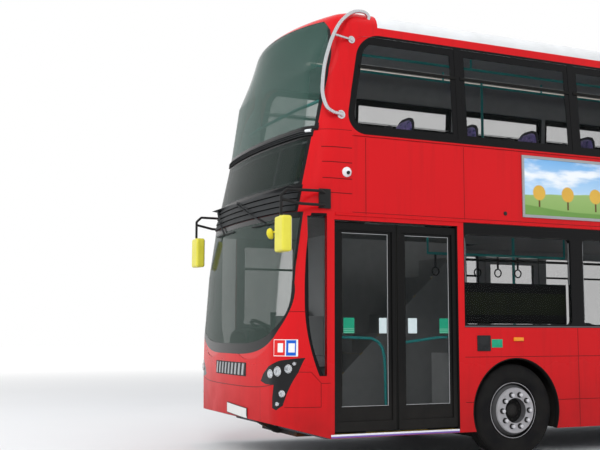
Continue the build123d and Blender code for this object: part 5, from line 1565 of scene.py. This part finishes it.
# Advert panels: thin aluminium frames riveted between the decks, holding a sheet with a generic landscape
# of soft hills, a pale sky and a row of round trees.
def poster_coat(w):
    x, y, z = w.place()
    up = (z - 2.536) / 0.61
    drift = w.noise(1.6, 4)
    sky = up.blend((0.62, 0.80, 0.92), (0.20, 0.45, 0.78))
    cloud = w.noise(2.2, 5, (0.6, 1, 2.2)).over(0.54, 0.08) * up.over(0.3, 0.2)
    sky = cloud.blend(sky, (0.86, 0.90, 0.93))
    hill_far = (x * 1.3).maths("SINE") * 0.09 + drift * 0.10 + 0.28
    hill_near = (x * 2.1 + 1.7).maths("SINE") * 0.07 + drift * 0.06 + 0.12
    far = (hill_far - up).over(0.0, 0.01)
    near = (hill_near - up).over(0.0, 0.01)
    tone = far.blend(sky, up.blend((0.24, 0.40, 0.12), (0.42, 0.55, 0.22)))
    cell = (x * 2.6).maths("FRACT") - 0.5
    tree = 1 - ((cell * 0.62) ** 2 + (up - 0.40) ** 2).over(0.018, 0.003)
    trunk = cell.near(0.0, 0.03) * up.between(0.12, 0.34)
    tone = trunk.blend(tone, (0.12, 0.07, 0.03))
    tone = tree.blend(tone, drift.blend((0.62, 0.30, 0.05), (0.75, 0.52, 0.10)))
    tone = near.blend(tone, drift.blend((0.10, 0.24, 0.06), (0.20, 0.36, 0.09)))
    return {"Base Color": tone, "Roughness": drift * 0.1 + 0.25, "height": drift * 0.0004}


frame_metal = worn(
    "frame_aluminium", (60, 3, (0.05, 1, 1)), (0.30, 0.31, 0.33), (0.46, 0.47, 0.49), (0.3, 0.3), 0.85,
    0.0001,
)
dress(frame_metal, "advert_frames")
poster = Shape()
for side in (1, -1):
    poster.block((-3.425, side * 1.2664, 2.531), (2.315, side * 1.2672, 3.151))
poster.piece("advert_sheets", finish_of("advert_sheet", poster_coat))


# Ceiling lamps: pale strips of ribbed plastic, two along the upper saloon and one along the lower one, set
# flush with the lining.
def strip_coat(w):
    rib = w.noise(30, 2, (4, 1, 1))
    return {
        "Base Color": rib.blend((0.80, 0.78, 0.72), (0.90, 0.89, 0.85)),
        "Emission Color": rib.blend((1.0, 0.93, 0.80), (1.0, 0.97, 0.90)), "Emission Strength": 0.5,
        "Roughness": 0.4,
    }


light_strip = finish_of("light_strip", strip_coat)
strips = Shape()
for y in (0.62, -0.62):
    strips.block((-4.5, y - 0.04, 4.455), (4.0, y + 0.04, 4.478), 0.006)
strips.block((-4.0, 0.71, 2.365), (3.0, 0.79, 2.383), 0.005)
strips.piece("ceiling_lamps", light_strip)


# Tail: round lamps in black rings, stacked on each side, a slatted grille and two catches on the engine
# lid, and a blank yellow plate. The handle of the emergency door is bent from bright rod.
def tail_lamp_coat(w):
    z = w.place()[2]
    ring = w.noise(80, 1)
    amber_at, white_at = z.between(1.085, 1.235), 1 - z.over(0.935)
    colour = ring.blend((0.42, 0.004, 0.004), (0.60, 0.012, 0.010))
    colour = amber_at.blend(colour, (0.80, 0.26, 0.01))
    colour = white_at.blend(colour, (0.78, 0.78, 0.80))
    return {"Base Color": colour, "Roughness": 0.12, "Coat Weight": 0.8, "height": ring * 0.0008}


dress(finish_of("tail_lenses", tail_lamp_coat), "tail_lamps")
tail_x = -5.2
tail_rings = Shape()
for side in (1, -1):
    for z in (0.86, 1.01, 1.16, 1.31):
        tail_rings.turned(
            (tail_x, side * 1.04, z), backwards,
            ((0.060, -0.002), (0.068, -0.002), (0.068, 0.004), (0.064, 0.008), (0.060, 0.004)), 30,
            looped=True,
        )
        tail_rings.turned(
            (tail_x, side * 1.04, z), backwards,
            ((0.018, 0.0), (0.022, 0.0), (0.022, 0.005), (0.018, 0.005)), 20, looped=True,
        )
tail_rings.piece("tail_lamp_rings", slat_black)


def slat_rows(w, size):
    """Slats at equal pitch up the lid, each tilted to shed water."""
    slat = w.node("GeometryNodeMeshCube", {"Size": size["slat"]})
    slat = transformed(w, slat, Rotation=size["tilt"])
    return copies(w, slat, in_line(w, size["slats"], size["lowest"], size["pitch"]))


slat_sizes = {
    "slat": (0.006, 1.30, 0.030), "tilt": (0.0, 0.45, 0.0), "slats": 14, "lowest": (-5.206, 0.0, 0.72),
    "pitch": (0.0, 0.0, 0.042),
}
grow("engine_lid_slats", slat_sizes, slat_rows, slat_black, "engine_lid")
yellow_plate = Shape()
yellow_plate.block((-5.209, -0.26, 0.445), (-5.2005, 0.26, 0.556), 0.002)
yellow_plate.piece("rear_plate", plate_finish("yellow_plate", (0.72, 0.52, 0.02), (0.82, 0.62, 0.05)))
handles = Shape()
handles.tube(
    [
        (0.30, -1.261, 1.15), (0.30, -1.276, 1.17), (0.30, -1.278, 1.22), (0.30, -1.276, 1.27),
        (0.30, -1.261, 1.29),
    ],
    0.009, 8,
)
handles.piece("emergency_handle", bright_metal, "emergency_door")
lid_catch = Shape()
for y in (-0.5, 0.5):
    lid_catch.turned(
        (tail_x, y, 1.60), backwards,
        ((0, -0.001), (0.022, -0.001), (0.022, 0.006), (0.014, 0.009), (0, 0.009)), 18,
    )
lid_catch.piece("lid_catches", bright_metal, "engine_lid")


# Studio: a plain pale floor and a soft room that is white to the eye, lit by three broad lamps, with the
# camera where the photograph was taken from.
def seen_rays(w):
    """One for the rays that show the background: from the camera, off mirrors and through glass."""
    ray = w.node("ShaderNodeLightPath").socket.node.outputs
    kinds = ("Camera", "Glossy", "Transmission")
    straight, glossy, through = (Wire(w.tree, ray["Is %s Ray" % kind]) for kind in kinds)
    return straight | glossy | through


def studio_coat(w):
    """Pale concrete that keeps the shadow near the bus and turns into the white of the room further out."""
    x, y, z = w.place()
    far = ((x ** 2 + y ** 2) ** 0.5 - 8.0) / 14.0
    far = far.maths("SMOOTH_MIN", 1.0, 0.1) | 0.0
    white = far * seen_rays(w)
    tone = w.noise(0.4, 2).blend((0.76, 0.76, 0.76), (0.80, 0.80, 0.80))
    glow = white.blend((0, 0, 0), (1, 1, 1))
    sockets = {"Base Color": white.blend(tone, (0, 0, 0)), "Emission Color": glow, "Emission Strength": 1.0}
    return {**sockets, "Roughness": 0.9, "Specular IOR Level": 0.1}


ground = bpy.data.meshes.new("studio_floor")
ground.from_pydata([(-60, -60, 0), (60, -60, 0), (60, 60, 0), (-60, 60, 0)], [], [(0, 1, 2, 3)])
ground.materials.append(finish_of("studio_floor", studio_coat))
studio_floor = linked("studio_floor", ground)

world = bpy.data.worlds.new("studio")
bpy.context.scene.world = world
world.use_nodes = True
world.node_tree.nodes.clear()
sky = Wire(world.node_tree)
room = sky.node(
    "ShaderNodeBackground", {"Color": seen_rays(sky).blend((0.50, 0.52, 0.55), (1, 1, 1)), "Strength": 1.0},
)
sky.node("ShaderNodeOutputWorld", {"Surface": room})

for name, place, aim, size, power in (
    ("key", (14, 16, 12), (1, 0, 2), 9.0, 2300),
    ("fill", (16, -6, 8), (4, 0, 2), 8.0, 800),
    ("top", (0, 2, 16), (0, 0, 3), 12.0, 1000),
):
    lamp = bpy.data.lights.new(name, "AREA")
    lamp.energy, lamp.size = power, size
    look = (Vector(aim) - Vector(place)).to_track_quat("-Z", "Y")
    rig = linked(name, lamp)
    rig.matrix_world = Matrix.Translation(place) @ look.to_matrix().to_4x4()
    rig.visible_glossy = False

lens = bpy.data.cameras.new("camera")
lens.sensor_width, lens.sensor_fit, lens.lens = 36.0, "HORIZONTAL", 57.24
camera = linked("camera", lens)
view_axes = (
    (-0.911918, 0.410364, 0.002514), (0.047006, 0.098368, 0.994039), (0.407671, 0.906601, -0.108993),
)
camera.matrix_world = Matrix.Translation((8.6353, 9.4879, 1.3090)) @ Matrix(view_axes).transposed().to_4x4()
bpy.context.scene.camera = camera
bpy.context.scene.view_settings.view_transform = "Standard"
